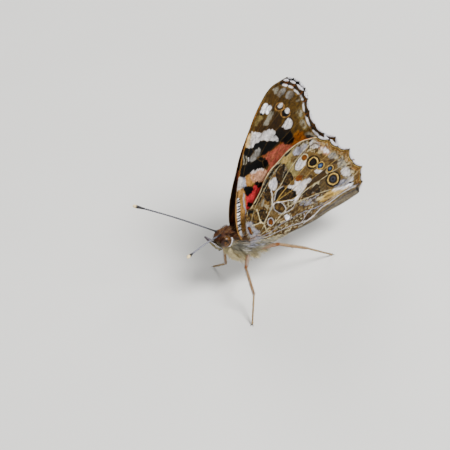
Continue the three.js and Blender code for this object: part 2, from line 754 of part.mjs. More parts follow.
[['left', -1], ['right', 1]].forEach(([label, side]) => {
  addPart(`eye_${label}`, eyeSolid(side), EYE_BROWN, 0.35);
  addPart(`palp_${label}`, palpSolid(side), FUR_CREAM, 0.85);
  addPart(`antenna_${label}`, antennaSolid(side), FEELER_DARK, 0.55);
  addPart(`foreleg_${label}`, forelegSolid(side, 0), FUR_CREAM, 0.85);
  const back = side < 0 ? 0 : 3.4;
  addPart(`forewing_${label}`, wingSolid(FOREWING, forewingStandOff, [-1.5, 2.5], back, side), WING_ROSE, 0.8);
  addPart(`hindwing_${label}`, wingSolid(HINDWING, hindwingStandOff, [0.8, 1.5], 0, side), WING_BROWN, 0.8);
});

Object.entries(LEGS).forEach(([label, leg]) => {
  const tibia = rod(leg.knee, leg.ankle, TIBIA_RADIUS, FEMUR_RADIUS + 0.12, 0, 0.1);
  addPart(`femur_${label}`, femurSolid(leg, 0), FUR_CREAM, 0.8);
  addPart(`tibia_${label}`, tibia, LEG_TAN, 0.7);
  addPart(`tarsus_${label}`, tarsusSolid(leg), LEG_TAN, 0.7, true);
});

export default butterfly;
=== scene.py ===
"""Painted lady butterfly at rest with its wings shut over its back, life size.

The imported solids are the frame. Each class here gives some of them their visible form: scaled
wings with raised veins and a chequered fringe, one furred skin for the body, eyes, palps,
feelers and legs. Lengths in the classes are millimetres in the insect's own body frame:
x runs back from the head, y to the insect's right and z up.
"""

import json
import logging
import math
from dataclasses import dataclass
from enum import Enum

import bpy
import numpy as np
from mathutils import Matrix, Vector
from mathutils.geometry import delaunay_2d_cdt

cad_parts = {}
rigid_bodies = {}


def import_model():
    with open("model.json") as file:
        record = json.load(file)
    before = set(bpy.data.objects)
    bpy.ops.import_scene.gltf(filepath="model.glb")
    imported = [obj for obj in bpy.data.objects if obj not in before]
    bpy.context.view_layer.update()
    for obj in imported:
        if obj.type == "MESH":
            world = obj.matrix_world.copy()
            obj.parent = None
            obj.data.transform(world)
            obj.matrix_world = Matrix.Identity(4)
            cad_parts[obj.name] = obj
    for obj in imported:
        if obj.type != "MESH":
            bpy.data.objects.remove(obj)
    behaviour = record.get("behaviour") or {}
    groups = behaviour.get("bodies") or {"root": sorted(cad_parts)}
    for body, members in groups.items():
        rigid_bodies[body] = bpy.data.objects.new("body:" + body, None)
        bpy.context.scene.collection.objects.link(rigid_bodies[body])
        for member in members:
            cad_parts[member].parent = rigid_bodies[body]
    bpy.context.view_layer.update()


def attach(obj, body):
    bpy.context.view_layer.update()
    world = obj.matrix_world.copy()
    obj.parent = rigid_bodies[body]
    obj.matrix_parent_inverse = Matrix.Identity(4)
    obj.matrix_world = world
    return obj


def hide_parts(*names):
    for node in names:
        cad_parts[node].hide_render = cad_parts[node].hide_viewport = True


Array = np.ndarray
Rng = np.random.Generator
Piece = bpy.types.Object

MM = 0.001
PAINT = "paint"
BAKE_MAP = "OFBake"
# Power that deepens the display colours, so that they hold in the pale studio
DEPTH = 1.92
# How deep a wing's edge dips between two vein ends, and the cell width from which it does so in full
SCALLOP_DEPTH = 0.34
WIDE_CELL = 2.4
log = logging.getLogger("butterfly")


# ---- Small helpers

def linear(red: float, green: float, blue: float) -> Array:
    """Linear light values of a display colour given as 0 to 255, deepened for the pale studio."""
    share = np.array([red, green, blue], float) / 255
    return np.where(share <= 0.04045, share / 12.92, ((share + 0.055) / 1.055) ** 2.4) ** DEPTH


def at(*tenths: float) -> tuple:
    """Plane points in millimetres, from x and z in tenths, each point written x,z without a space."""
    return tuple((x / 10, z / 10) for x, z in zip(tenths[::2], tenths[1::2]))


def blend(base: Array, tone: Array, cover: Array) -> Array:
    """Lays a tone over colours, with a cover from 0 to 1 for each row."""
    return base * (1 - cover[:, None]) + tone * cover[:, None]


def ease(low: float, high: float, value: Array) -> Array:
    """0 below low, 1 above high and a smooth ramp between."""
    t = np.clip((np.asarray(value, float) - low) / (high - low), 0, 1)
    return t * t * (3 - 2 * t)


def smooth_path(points: tuple, step: float, closed: bool = False) -> Array:
    """Evenly spaced points on a centripetal Catmull-Rom curve.

    Args:
        points: the points the curve passes through, of any dimension.
        step: the spacing wanted.
        closed: whether the curve returns to its first point.

    Returns:
        An array of points; the last one of a closed curve isn't repeated.
    """
    p = np.array(points, float)
    if closed:
        p = np.vstack([p[-1], p, p[0], p[1]])
    else:
        p = np.vstack([2 * p[0] - p[1], p, 2 * p[-1] - p[-2]])
    fine = []
    share = np.linspace(0, 1, 24, endpoint=False)[:, None]
    for a, b, c, d in zip(p, p[1:], p[2:], p[3:]):
        gaps = [max(np.linalg.norm(v) ** 0.5, 1e-4) for v in (b - a, c - b, d - c)]
        start = (b - a) / gaps[0] - (c - a) / (gaps[0] + gaps[1]) + (c - b) / gaps[1]
        end = (c - b) / gaps[1] - (d - b) / (gaps[1] + gaps[2]) + (d - c) / gaps[2]
        start, end = start * gaps[1], end * gaps[1]
        cubic = 2 * b - 2 * c + start + end
        square = -3 * b + 3 * c - 2 * start - end
        fine.append(b + share * (start + share * (square + share * cubic)))
    fine.append(p[-2][None])
    line = np.vstack(fine)
    along = np.concatenate([[0], np.cumsum(np.linalg.norm(np.diff(line, axis=0), axis=1))])
    count = max(2, round(along[-1] / step))
    wanted = np.linspace(0, along[-1], count + 1)
    even = np.stack([np.interp(wanted, along, line[:, k]) for k in range(line.shape[1])], 1)
    return even[:-1] if closed else even


def gap_to_line(points: Array, line: Array, closed: bool = False) -> Array:
    """Distance from each plane point to a polyline."""
    ends = np.vstack([line, line[:1]]) if closed else line
    best = np.full(len(points), np.inf)
    for a, b in zip(ends, ends[1:]):
        run = b - a
        share = np.clip((points - a) @ run / max(run @ run, 1e-12), 0, 1)
        best = np.minimum(best, np.linalg.norm(points - a - share[:, None] * run, axis=1))
    return best


def unit(rows: Array) -> Array:
    """Each row made one long."""
    return rows / np.maximum(np.linalg.norm(rows, axis=1), 1e-9)[:, None]


def beside(line: Array) -> Array:
    """Directions square to a plane line, to its left."""
    run = np.gradient(line, axis=0)
    return unit(np.stack([-run[:, 1], run[:, 0]], 1))


def inside(points: Array, loop: Array) -> Array:
    """Whether each plane point lies within a closed loop."""
    found = np.zeros(len(points), bool)
    for a, b in zip(loop, np.vstack([loop[1:], loop[:1]])):
        crosses = (a[1] > points[:, 1]) != (b[1] > points[:, 1])
        if a[1] != b[1]:
            edge = a[0] + (b[0] - a[0]) * (points[:, 1] - a[1]) / (b[1] - a[1])
            found ^= crosses & (points[:, 0] < edge)
    return found


def off_loop(points: Array, loop: Array) -> Array:
    """Distance from a closed loop, less than 0 inside it."""
    return gap_to_line(points, loop, closed=True) * np.where(inside(points, loop), -1, 1)


class Grain:
    """Smooth repeatable noise over a plane, from 0 to 1."""

    def __init__(self, seed: int) -> None:
        """Draws the lattice of values."""
        self.table = np.random.default_rng(seed).random((256, 256))

    def at(self, x: Array, z: Array, size: float) -> Array:
        """The noise at plane points, with features about `size` across."""
        u, v = np.asarray(x) / size + 91.7, np.asarray(z) / size + 37.3
        i, j = np.floor(u).astype(int), np.floor(v).astype(int)
        s, t = u - i, v - j
        s, t = s * s * (3 - 2 * s), t * t * (3 - 2 * t)
        pick = lambda a, b: self.table[a % 256, b % 256]
        low = pick(i, j) * (1 - s) + pick(i + 1, j) * s
        high = pick(i, j + 1) * (1 - s) + pick(i + 1, j + 1) * s
        return low * (1 - t) + high * t


@dataclass(frozen=True)
class Stance:
    """How the body frame stands over the floor."""

    pitch_deg: float = 12.0
    roll_deg: float = -6.5
    shift: tuple = (-4.675, -0.219, 9.87)

    def turn(self) -> Array:
        """The rotation from the body frame to the row frame."""
        roll = Matrix.Rotation(math.radians(self.roll_deg), 3, "X")
        return np.array(roll @ Matrix.Rotation(math.radians(self.pitch_deg), 3, "Y"))

    def place(self, points: Array) -> Array:
        """Body frame millimetres to row frame metres."""
        return (np.asarray(points, float) @ self.turn().T + np.array(self.shift)) * MM

    def body(self, points: Array) -> Array:
        """Row frame metres back to body frame millimetres."""
        return (np.asarray(points, float) / MM - np.array(self.shift)) @ self.turn()

    def over_floor(self, x: float, y: float, height: float) -> Array:
        """The body frame point over (x, y) of that frame at a height above the floor."""
        point = np.array([x, y, 0.0])
        for _ in range(6):
            point[2] += height - self.place(point)[2] / MM
        return point


STANCE = Stance()


# ---- Meshes

def deselect() -> None:
    """Leaves nothing selected and no object active."""
    for other in bpy.context.view_layer.objects:
        other.select_set(False)
    bpy.context.view_layer.objects.active = None


def only(obj: Piece) -> Piece:
    """Makes one object the selected and active one."""
    deselect()
    obj.select_set(True)
    bpy.context.view_layer.objects.active = obj
    return obj


def active() -> Piece:
    """The object that an operator has just made."""
    return bpy.context.view_layer.objects.active


def added(name: str, data: bpy.types.ID) -> Piece:
    """A new object in the scene."""
    obj = bpy.data.objects.new(name, data)
    bpy.context.scene.collection.objects.link(obj)
    return obj


def freeze(obj: Piece) -> None:
    """Moves an object's place, turn and size into its mesh."""
    only(obj)
    bpy.ops.object.transform_apply(location=True, rotation=True, scale=True)


def apply_modifiers(obj: Piece) -> None:
    """Applies every modifier of an object in order."""
    only(obj)
    for modifier in list(obj.modifiers):
        bpy.ops.object.modifier_apply(modifier=modifier.name)


def settle(obj: Piece, name: str) -> Piece:
    """Names a finished piece, and moves its place and turn into its mesh."""
    freeze(obj)
    bpy.ops.object.shade_smooth()
    obj.name = name
    obj.data.name = name
    return obj


def points_of(obj: Piece) -> Array:
    """A mesh's points in metres."""
    co = np.empty(len(obj.data.vertices) * 3)
    obj.data.vertices.foreach_get("co", co)
    return co.reshape(-1, 3)


def set_points(obj: Piece, points: Array) -> None:
    """Moves a mesh's points."""
    obj.data.vertices.foreach_set("co", np.asarray(points, np.float32).ravel())
    obj.data.update()


def joined(name: str, parts: list) -> Piece:
    """Joins mesh objects into the first of them."""
    deselect()
    for part in parts:
        part.select_set(True)
    bpy.context.view_layer.objects.active = parts[0]
    bpy.ops.object.join()
    parts[0].name = name
    return parts[0]


def paint(obj: Piece, colours: Array) -> None:
    """Stores a linear colour for each point of a mesh, or one for all of them."""
    layer = obj.data.color_attributes.new(PAINT, "FLOAT_COLOR", "POINT")
    rgba = np.ones((len(obj.data.vertices), 4), np.float32)
    rgba[:, :3] = np.clip(colours, 0, 1)
    layer.data.foreach_set("color", rgba.ravel())


def mesh_of(name: str, points: Array, triangles: Array, uv: Array | None = None,
            colours: Array | None = None) -> Piece:
    """A mesh object from arrays.

    Args:
        name: the object's name.
        points: row frame metres.
        triangles: three point numbers a row, facing out.
        uv: a place on the bake map for each corner of each triangle.
        colours: a linear colour for each point.

    Returns:
        The new object, linked into the scene.
    """
    data = bpy.data.meshes.new(name)
    data.vertices.add(len(points))
    data.vertices.foreach_set("co", np.asarray(points, np.float32).ravel())
    data.loops.add(len(triangles) * 3)
    data.loops.foreach_set("vertex_index", np.asarray(triangles, np.int32).ravel())
    data.polygons.add(len(triangles))
    data.polygons.foreach_set("loop_start", np.arange(0, len(triangles) * 3, 3, dtype=np.int32))
    data.update(calc_edges=True)
    if uv is not None:
        layer = data.uv_layers.new(name=BAKE_MAP)
        layer.data.foreach_set("uv", np.asarray(uv, np.float32).ravel())
    obj = added(name, data)
    if colours is not None:
        paint(obj, colours)
    data.shade_smooth()
    return obj


@dataclass(frozen=True)
class Tube:
    """A round rod along a smooth path, closed at both ends.

    Args:
        path: body frame points.
        radii: a radius for each point of the path.
        step: the spacing of its rings.
        around: a quarter of the corners of its section, less one.
    """

    path: tuple
    radii: tuple
    step: float = 0.12
    around: int = 3

    def line(self) -> Array:
        """Evenly spaced rows of place and radius."""
        rows = [list(p) + [r] for p, r in zip(self.path, self.radii)]
        return smooth_path(tuple(map(tuple, rows)), self.step)

    def build(self, name: str) -> Piece:
        """Draws the path as a curve with a round section and makes it a mesh."""
        rows = self.line()
        data = bpy.data.curves.new(name, "CURVE")
        data.dimensions = "3D"
        data.bevel_depth = MM
        data.bevel_resolution = self.around
        data.use_fill_caps = True
        spline = data.splines.new("POLY")
        spline.points.add(len(rows) - 1)
        for point, row, place in zip(spline.points, rows, STANCE.place(rows[:, :3])):
            point.co = (*place, 1)
            point.radius = max(row[3], 0.004)
        only(added(name, data))
        bpy.ops.object.convert(target="MESH")
        return settle(active(), name)

    def share(self, points: Array) -> Array:
        """How far along the rod each body frame point lies, 0 to 1."""
        rows = self.line()[:, :3]
        best, found = np.full(len(points), np.inf), np.zeros(len(points))
        for k, row in enumerate(rows):
            gap = np.linalg.norm(points - row, axis=1)
            nearer = gap < best
            best[nearer], found[nearer] = gap[nearer], k / (len(rows) - 1)
        return found

    def skin(self, count: int, rng: Rng) -> tuple:
        """Random places on the rod: points, outward and onward directions, share along."""
        rows = self.line()
        place = rng.uniform(0, len(rows) - 1.001, count)
        k = place.astype(int)
        part = (place - k)[:, None]
        spot = rows[k] * (1 - part) + rows[k + 1] * part
        along = unit(rows[k + 1][:, :3] - rows[k][:, :3])
        guide = np.where(np.abs(along[:, 2:]) < 0.9, [[0, 0, 1.0]], [[0, 1.0, 0]])
        across = unit(np.cross(along, guide))
        lift = np.cross(across, along)
        turn = rng.uniform(0, 2 * math.pi, count)[:, None]
        out = across * np.cos(turn) + lift * np.sin(turn)
        return spot[:, :3] + out * spot[:, 3:] * 0.9, out, along, place / (len(rows) - 1)


# ---- Tufts

TUFT_RINGS = (0.0, 0.38, 0.72)
TUFT_SIDES = 3
PATCH = 0.003


def tuft_pattern() -> tuple:
    """The triangles of one tuft and their corners' places in a unit patch of the bake map."""
    triangles, corners = [], []
    rings = len(TUFT_RINGS)
    for r in range(rings - 1):
        for s in range(TUFT_SIDES):
            a, b = r * TUFT_SIDES + s, r * TUFT_SIDES + (s + 1) % TUFT_SIDES
            c, d = a + TUFT_SIDES, b + TUFT_SIDES
            left, right = s / TUFT_SIDES, (s + 0.94) / TUFT_SIDES
            low, high = 0.1 + r * 0.3, 0.1 + (r + 1) * 0.3
            triangles += [(a, b, d), (a, d, c)]
            corners += [((left, low), (right, low), (right, high)),
                        ((left, low), (right, high), (left, high))]
    tip = rings * TUFT_SIDES
    for s in range(TUFT_SIDES):
        a, b = (rings - 1) * TUFT_SIDES + s, (rings - 1) * TUFT_SIDES + (s + 1) % TUFT_SIDES
        left, right = s / TUFT_SIDES, (s + 0.94) / TUFT_SIDES
        triangles.append((a, b, tip))
        corners.append(((left, 0.7), (right, 0.7), ((left + right) / 2, 1.0)))
    triangles.append((0, 2, 1))
    corners.append(((0, 0), (0.1, 0), (0.05, 0.09)))
    return np.array(triangles), np.array(corners)


@dataclass
class Tufts:
    """Many hairs or scales of one kind, as arrays with a row for each."""

    root: Array
    out: Array
    lie: Array
    length: Array
    width: Array
    colour: Array
    place: Array
    rise: float = 0.25
    thick: float = 0.45
    hang: float = 0.0
    # How dark a blade is painted at its root, as painted shade among the hairs
    root_shade: float = 0.72

    def build(self, name: str) -> Piece:
        """Makes one mesh of closed, flat, pointed blades that follow their lie.

        Returns:
            The mesh object, painted and with its bake map.
        """
        pattern, corners = tuft_pattern()
        along = unit(self.lie)
        across = unit(np.cross(along, self.out))
        up = np.cross(across, along)
        length, width = self.length[:, None], self.width[:, None]
        points, shades = [], []
        for t in (*TUFT_RINGS, 1.0):
            centre = self.root + along * length * t + up * length * self.rise * math.sin(t * 1.9)
            centre = centre - up * width * 0.5 * (1 - t)
            centre[:, 2] -= (length * self.hang * t * t)[:, 0]
            # Painted shade among the hairs: each blade is darker at its root, and a little lighter at its tip
            shade = self.root_shade + (1 - self.root_shade) * min(1, t * 1.6)
            if t == 1.0:
                points.append(centre)
                shades.append(shade * 1.06)
                continue
            half = width * 0.5 * (1 - 0.62 * t * t)
            points += [centre - across * half, centre + across * half, centre + up * half * self.thick * 2]
            shades += [shade] * TUFT_SIDES
        count = len(self.root)
        per = len(points)
        grid = np.stack(points, 1).reshape(-1, 3)
        triangles = (np.arange(count)[:, None, None] * per + pattern[None]).reshape(-1, 3)
        colours = (self.colour[:, None, :] * np.array(shades)[None, :, None]).reshape(-1, 3)
        uv = self.place[:, None, None, :] + (corners[None] - 0.5) * PATCH
        return mesh_of(name, STANCE.place(grid), triangles, uv.reshape(-1, 2), colours)


def rows_of_patches(count: int) -> Array:
    """Bake map places for blades that follow one line, laid in rows."""
    side = math.ceil(math.sqrt(count))
    k = np.arange(count)
    return np.stack([(k % side + 0.5) / side, (k // side + 0.5) / side], 1) * 0.98 + 0.01


def sample_skin(obj: Piece, count: int, seed: int) -> tuple:
    """Random points on a mesh, spread by area.

    Returns:
        Body frame points and outward directions.
    """
    data = obj.data
    data.calc_loop_triangles()
    number = len(data.loop_triangles)
    corner = np.empty(number * 3, np.int32)
    data.loop_triangles.foreach_get("vertices", corner)
    co = STANCE.body(points_of(obj))
    tri = co[corner.reshape(-1, 3)]
    normal = np.cross(tri[:, 1] - tri[:, 0], tri[:, 2] - tri[:, 0])
    area = np.linalg.norm(normal, axis=1)
    rng = np.random.default_rng(seed)
    pick = rng.choice(number, count, p=area / area.sum())
    a, b = rng.random(count), rng.random(count)
    fold = a + b > 1
    a[fold], b[fold] = 1 - a[fold], 1 - b[fold]
    one, two, three = tri[pick].transpose(1, 0, 2)
    points = one + a[:, None] * (two - one) + b[:, None] * (three - one)
    return points, normal[pick] / area[pick][:, None]


# ---- Shader maths

def connect(tree: bpy.types.NodeTree, slot: bpy.types.NodeSocket, value: object) -> None:
    """Links a Shade to an input, or sets it to a number or colour."""
    if isinstance(value, Shade):
        tree.links.new(value.socket, slot)
    else:
        slot.default_value = value


class Shade:
    """An output socket whose arithmetic adds Math nodes."""

    def __init__(self, tree: bpy.types.NodeTree, socket: bpy.types.NodeSocket) -> None:
        """Wraps the socket."""
        self.tree, self.socket = tree, socket

    def _math(self, operation: str, *values: object) -> "Shade":
        """Adds one Math node over sockets and numbers."""
        node = self.tree.nodes.new("ShaderNodeMath")
        node.operation = operation
        for slot, value in zip(node.inputs, values):
            connect(self.tree, slot, value)
        return Shade(self.tree, node.outputs[0])

    def __add__(self, other: object) -> "Shade":
        """Sum."""
        return self._math("ADD", self, other)

    __radd__ = __add__

    def __mul__(self, other: object) -> "Shade":
        """Product."""
        return self._math("MULTIPLY", self, other)

    __rmul__ = __mul__

    def __sub__(self, other: object) -> "Shade":
        """Difference."""
        return self._math("SUBTRACT", self, other)

    def __rsub__(self, other: object) -> "Shade":
        """Difference from a number."""
        return self._math("SUBTRACT", other, self)


class Finish:
    """A material being made: one Principled surface and what feeds it."""

    def __init__(self, name: str) -> None:
        """Starts an empty material."""
        self.material = bpy.data.materials.new(name)
        self.material.use_nodes = True
        self.tree = self.material.node_tree
        self.tree.nodes.clear()
        self.surface = self.tree.nodes.new("ShaderNodeBsdfPrincipled")
        out = self.tree.nodes.new("ShaderNodeOutputMaterial")
        self.tree.links.new(self.surface.outputs[0], out.inputs["Surface"])
        place = self.tree.nodes.new("ShaderNodeTexCoord")
        self.place = Shade(self.tree, place.outputs["Object"])

    def node(self, kind: str, output: object, settings: dict, inputs: dict) -> Shade:
        """Adds a node.

        Args:
            kind: its type name.
            output: name or number of the output to return.
            settings: its own properties, set first.
            inputs: numbers, colours or Shades by input name or number.

        Returns:
            The output as a Shade.
        """
        made = self.tree.nodes.new(kind)
        for key, value in settings.items():
            setattr(made, key, value)
        for key, value in inputs.items():
            connect(self.tree, made.inputs[key], value)
        return Shade(self.tree, made.outputs[output])

    def feed(self, name: str, value: object) -> None:
        """Sets or links one input of the surface."""
        connect(self.tree, self.surface.inputs[name], value)

    def painted(self) -> Shade:
        """The colour stored on the mesh."""
        return self.node("ShaderNodeAttribute", "Color", {"attribute_name": PAINT}, {})

    def noise(self, size_mm: float, detail: float = 2.0) -> Shade:
        """Noise with features of that size, 0 to 1."""
        inputs = {"Vector": self.place, "Scale": 1 / (size_mm * MM), "Detail": detail}
        return self.node("ShaderNodeTexNoise", "Fac", {}, inputs)

    def cells(self, size_mm: float, output: str = "Distance") -> Shade:
        """Voronoi cells of that size."""
        inputs = {"Vector": self.place, "Scale": 1 / (size_mm * MM)}
        return self.node("ShaderNodeTexVoronoi", output, {}, inputs)

    def mixed(self, factor: Shade, first: Array, second: Array) -> Shade:
        """Mixes two colours."""
        inputs = {0: factor, 6: (*first, 1), 7: (*second, 1)}
        return self.node("ShaderNodeMix", 2, {"data_type": "RGBA"}, inputs)

    def scaled(self, colour: Shade, factor: Shade) -> Shade:
        """A colour made lighter or darker by a factor."""
        inputs = {0: colour, "Scale": factor}
        return self.node("ShaderNodeVectorMath", 0, {"operation": "SCALE"}, inputs)

    def bump(self, height: Shade, strength: float, depth_mm: float) -> None:
        """Feeds a bump into the surface's normal."""
        inputs = {"Height": height, "Strength": strength, "Distance": depth_mm * MM}
        self.feed("Normal", self.node("ShaderNodeBump", "Normal", {}, inputs))


@dataclass(frozen=True)
class WingScales:
    """Powdery overlapping scales over the painted pattern of a wing."""

    name: str = "wing_scales"
    scale_mm: float = 0.1
    contrast: float = 0.5
    roughness: float = 0.62

    def make(self) -> bpy.types.Material:
        """Builds the material."""
        finish = Finish(self.name)
        cells = {"Color": finish.cells(self.scale_mm, "Color")}
        scale = finish.node("ShaderNodeSeparateColor", "Red", {}, cells)
        cloud = finish.noise(0.5)
        factor = (1 - self.contrast / 2) + self.contrast * scale + (cloud - 0.5) * 0.25
        finish.feed("Base Color", finish.scaled(finish.painted(), factor))
        finish.feed("Roughness", self.roughness + (scale - 0.5) * 0.2)
        finish.feed("Specular IOR Level", 0.1)
        finish.bump(finish.cells(self.scale_mm) + finish.noise(0.25) * 0.8, 0.35, 0.03)
        return finish.material


@dataclass(frozen=True)
class Coating:
    """A surface coloured by the mesh and varied by grain.

    Args:
        name: the material's name.
        tone: least lightness, the noise added to it and the size of that noise.
        rough: the same for the roughness.
        gloss: constants of the surface by input name.
        bump: strength and depth of the bump.
        cell_mm: size of the cells that make the bump; fine noise makes it where none is given.
        domed: whether the cells stand up at their middles.
    """

    name: str
    tone: tuple
    rough: tuple
    gloss: tuple
    bump: tuple
    cell_mm: float = 0.0
    domed: bool = False

    def make(self) -> bpy.types.Material:
        """Builds the material."""
        finish = Finish(self.name)
        least, more, size = self.tone
        finish.feed("Base Color", finish.scaled(finish.painted(), least + more * finish.noise(size)))
        least, more, size = self.rough
        finish.feed("Roughness", least + more * finish.noise(size))
        for key, value in self.gloss:
            finish.feed(key, value)
        height = finish.cells(self.cell_mm) if self.cell_mm else finish.noise(0.06, 3.0)
        finish.bump(1 - height if self.domed else height, *self.bump)
        return finish.material


HAIR = Coating("hair", (0.86, 0.28, 0.12), (0.55, 0.15, 0.3),
               (("Sheen Weight", 0.06), ("Sheen Roughness", 0.4), ("Specular IOR Level", 0.2)), (0.3, 0.02))
CUTICLE = Coating("cuticle", (0.8, 0.35, 0.091), (0.42, 0.25, 0.2), (("Specular IOR Level", 0.4),),
                  (0.45, 0.025), 0.07)
EYE_GLASS = Coating("eye_glass", (0.9, 0.25, 0.1), (0.3, 0.12, 0.25),
                    (("Specular IOR Level", 0.22), ("Coat Weight", 0.06), ("Coat Roughness", 0.18)),
                    (0.35, 0.02), 0.055, True)


@dataclass(frozen=True)
class PlainFloor:
    """Matte pale card."""

    name: str = "pale_card"

    def make(self) -> bpy.types.Material:
        """Builds the material."""
        finish = Finish(self.name)
        tone = finish.mixed(finish.noise(40.0), linear(234, 233, 230), linear(239, 238, 235))
        finish.feed("Base Color", tone)
        finish.feed("Roughness", 0.9)
        finish.feed("Specular IOR Level", 0.1)
        return finish.material


# ---- Wing markings

class Tone(Enum):
    """Colours of wing scales and body hair, as display values."""

    BLACK = (12, 10, 9)
    SOOT = (34, 27, 20)
    DARK_BROWN = (82, 64, 34)
    UMBER = (106, 86, 48)
    OLIVE_BROWN = (124, 105, 60)
    OCHRE_BROWN = (148, 129, 90)
    OCHRE = (184, 148, 84)
    ORANGE_BROWN = (152, 110, 50)
    ORANGE = (168, 122, 50)
    SALMON = (184, 127, 112)
    CARMINE = (198, 97, 102)
    PINK_TAN = (206, 176, 156)
    TAN = (190, 162, 118)
    STRAW = (216, 194, 138)
    CREAM = (216, 207, 180)
    OLIVE_CREAM = (170, 160, 124)
    DIM_OLIVE = (136, 122, 90)
    MILK = (214, 211, 210)
    WHITE = (238, 237, 240)
    LAVENDER = (184, 184, 192)
    GREY = (166, 164, 160)
    SLATE = (100, 100, 110)
    BLUE = (96, 114, 138)
    PALE_BLUE = (130, 152, 176)
    # The fold's grey, darkened as painted shade of the fold; the hair along the wings' rear edges takes it too
    FOLD_GREY = (150, 143, 130)
    DORSAL_ORANGE = (224, 158, 114)
    DORSAL_ROSE = (216, 146, 124)
    RED_BROWN = (136, 99, 68)
    WARM_GREY = (174, 171, 160)

    def light(self) -> Array:
        """The colour in linear light."""
        return linear(*self.value)


@dataclass(frozen=True)
class Patch:
    """A rounded area of one tone, its outline in wing millimetres."""

    tone: Tone
    outline: tuple
    soft: float = 0.09
    strength: float = 1.0
    streaky: float = 0.0


@dataclass(frozen=True)
class Streak:
    """A line of one tone along a path."""

    tone: Tone
    path: tuple
    half: float = 0.12
    soft: float = 0.07
    strength: float = 1.0


@dataclass(frozen=True)
class Spot:
    """An oval with rings, from the outermost scale inwards."""

    centre: tuple
    semi: tuple
    angle: float
    rings: tuple
    soft: float = 0.07


@dataclass(frozen=True)
class Mottle:
    """Broken speckles of one tone, inside an outline or all over."""

    tone: Tone
    size: float
    cover: float
    strength: float = 0.7
    outline: tuple = ()


class Painter:
    """Lays marks over the points of one wing face."""

    def __init__(self, points: Array, root: tuple, seed: int) -> None:
        """Ruffles the points so that edges follow the rows of scales."""
        self.grain = [Grain(seed + k) for k in range(6)]
        x, z = points[:, 0], points[:, 1]
        away = points - np.array(root)
        self.reach = np.linalg.norm(away, axis=1)
        self.bearing = np.arctan2(away[:, 1], away[:, 0])
        teeth = self.grain[0].at(self.bearing * 75, self.reach * 0.8, 1.0) - 0.5
        fine = np.stack([self.grain[1].at(x, z, 0.35), self.grain[2].at(x, z, 0.35)], 1) - 0.5
        self.points = points + unit(away) * (teeth * 0.44)[:, None] + fine * 0.16
        self.calm = points + fine * 0.12
        self.colour = np.zeros((len(points), 3))

    def lay(self, cover: Array, tone: Tone, where: Array) -> None:
        """Covers the numbered points with a tone."""
        self.colour[where] = blend(self.colour[where], tone.light(), cover)

    def near(self, outline: Array, room: float) -> Array:
        """Numbers of the points in or close to an outline's box."""
        low, high = outline.min(0) - room, outline.max(0) + room
        return np.flatnonzero(((self.points > low) & (self.points < high)).all(1))

    def patch(self, mark: Patch) -> None:
        """Lays a patch."""
        loop = smooth_path(mark.outline, 0.3, closed=True)
        where = self.near(loop, mark.soft + 0.1)
        cover = ease(mark.soft, -mark.soft, off_loop(self.points[where], loop)) * mark.strength
        if mark.streaky:
            rays = self.grain[3].at(self.bearing[where] * 70, self.reach[where] * 0.6, 1.0)
            cover *= 1 - mark.streaky * ease(0.35, 0.7, rays)
        self.lay(cover, mark.tone, where)

    def streak(self, mark: Streak) -> None:
        """Lays a streak."""
        line = smooth_path(mark.path, 0.4)
        where = self.near(line, mark.half + mark.soft + 0.4)
        gap = gap_to_line(self.calm[where], line)
        cover = ease(mark.half + mark.soft, mark.half - mark.soft, gap) * mark.strength
        self.lay(cover, mark.tone, where)

    def spot(self, mark: Spot) -> None:
        """Lays a ringed oval."""
        turn = math.radians(mark.angle)
        away = self.calm - np.array(mark.centre)
        u = away[:, 0] * math.cos(turn) + away[:, 1] * math.sin(turn)
        v = away[:, 1] * math.cos(turn) - away[:, 0] * math.sin(turn)
        for scale, tone in mark.rings:
            a, b = mark.semi[0] * scale, mark.semi[1] * scale
            radius = np.hypot(u / a, v / b)
            edge = mark.soft / min(a, b)
            where = np.flatnonzero(radius < 1 + edge)
            self.lay(ease(1 + edge, 1 - edge, radius[where]), tone, where)

    def mottle(self, mark: Mottle) -> None:
        """Lays speckles."""
        if mark.outline:
            loop = smooth_path(mark.outline, 0.4, closed=True)
            where = self.near(loop, 0.1)
            within = ease(0.15, -0.15, off_loop(self.points[where], loop))
        else:
            where = np.arange(len(self.points))
            within = np.ones(len(where))
        x, z = self.points[where].T
        value = 0.6 * self.grain[4].at(x, z, mark.size) + 0.4 * self.grain[5].at(x, z, mark.size * 0.45)
        limit = np.quantile(value, 1 - mark.cover) if len(value) else 1.0
        self.lay(ease(limit - 0.05, limit + 0.05, value) * within * mark.strength, mark.tone, where)

    def run(self, marks: tuple) -> Array:
        """Lays every mark in order and returns the colours."""
        kinds = {Patch: self.patch, Streak: self.streak, Spot: self.spot, Mottle: self.mottle}
        for mark in marks:
            kinds[type(mark)](mark)
        x, z = self.points.T
        grain = 0.8 * (self.grain[4].at(x, z, 0.19) - 0.5) + 0.4 * (self.grain[5].at(x, z, 0.8) - 0.5)
        rays = 0.75 * (self.grain[3].at(self.bearing * 80, self.reach * 0.7, 1.0) - 0.5)
        return self.colour * (1 + grain + rays)[:, None]


T = Tone

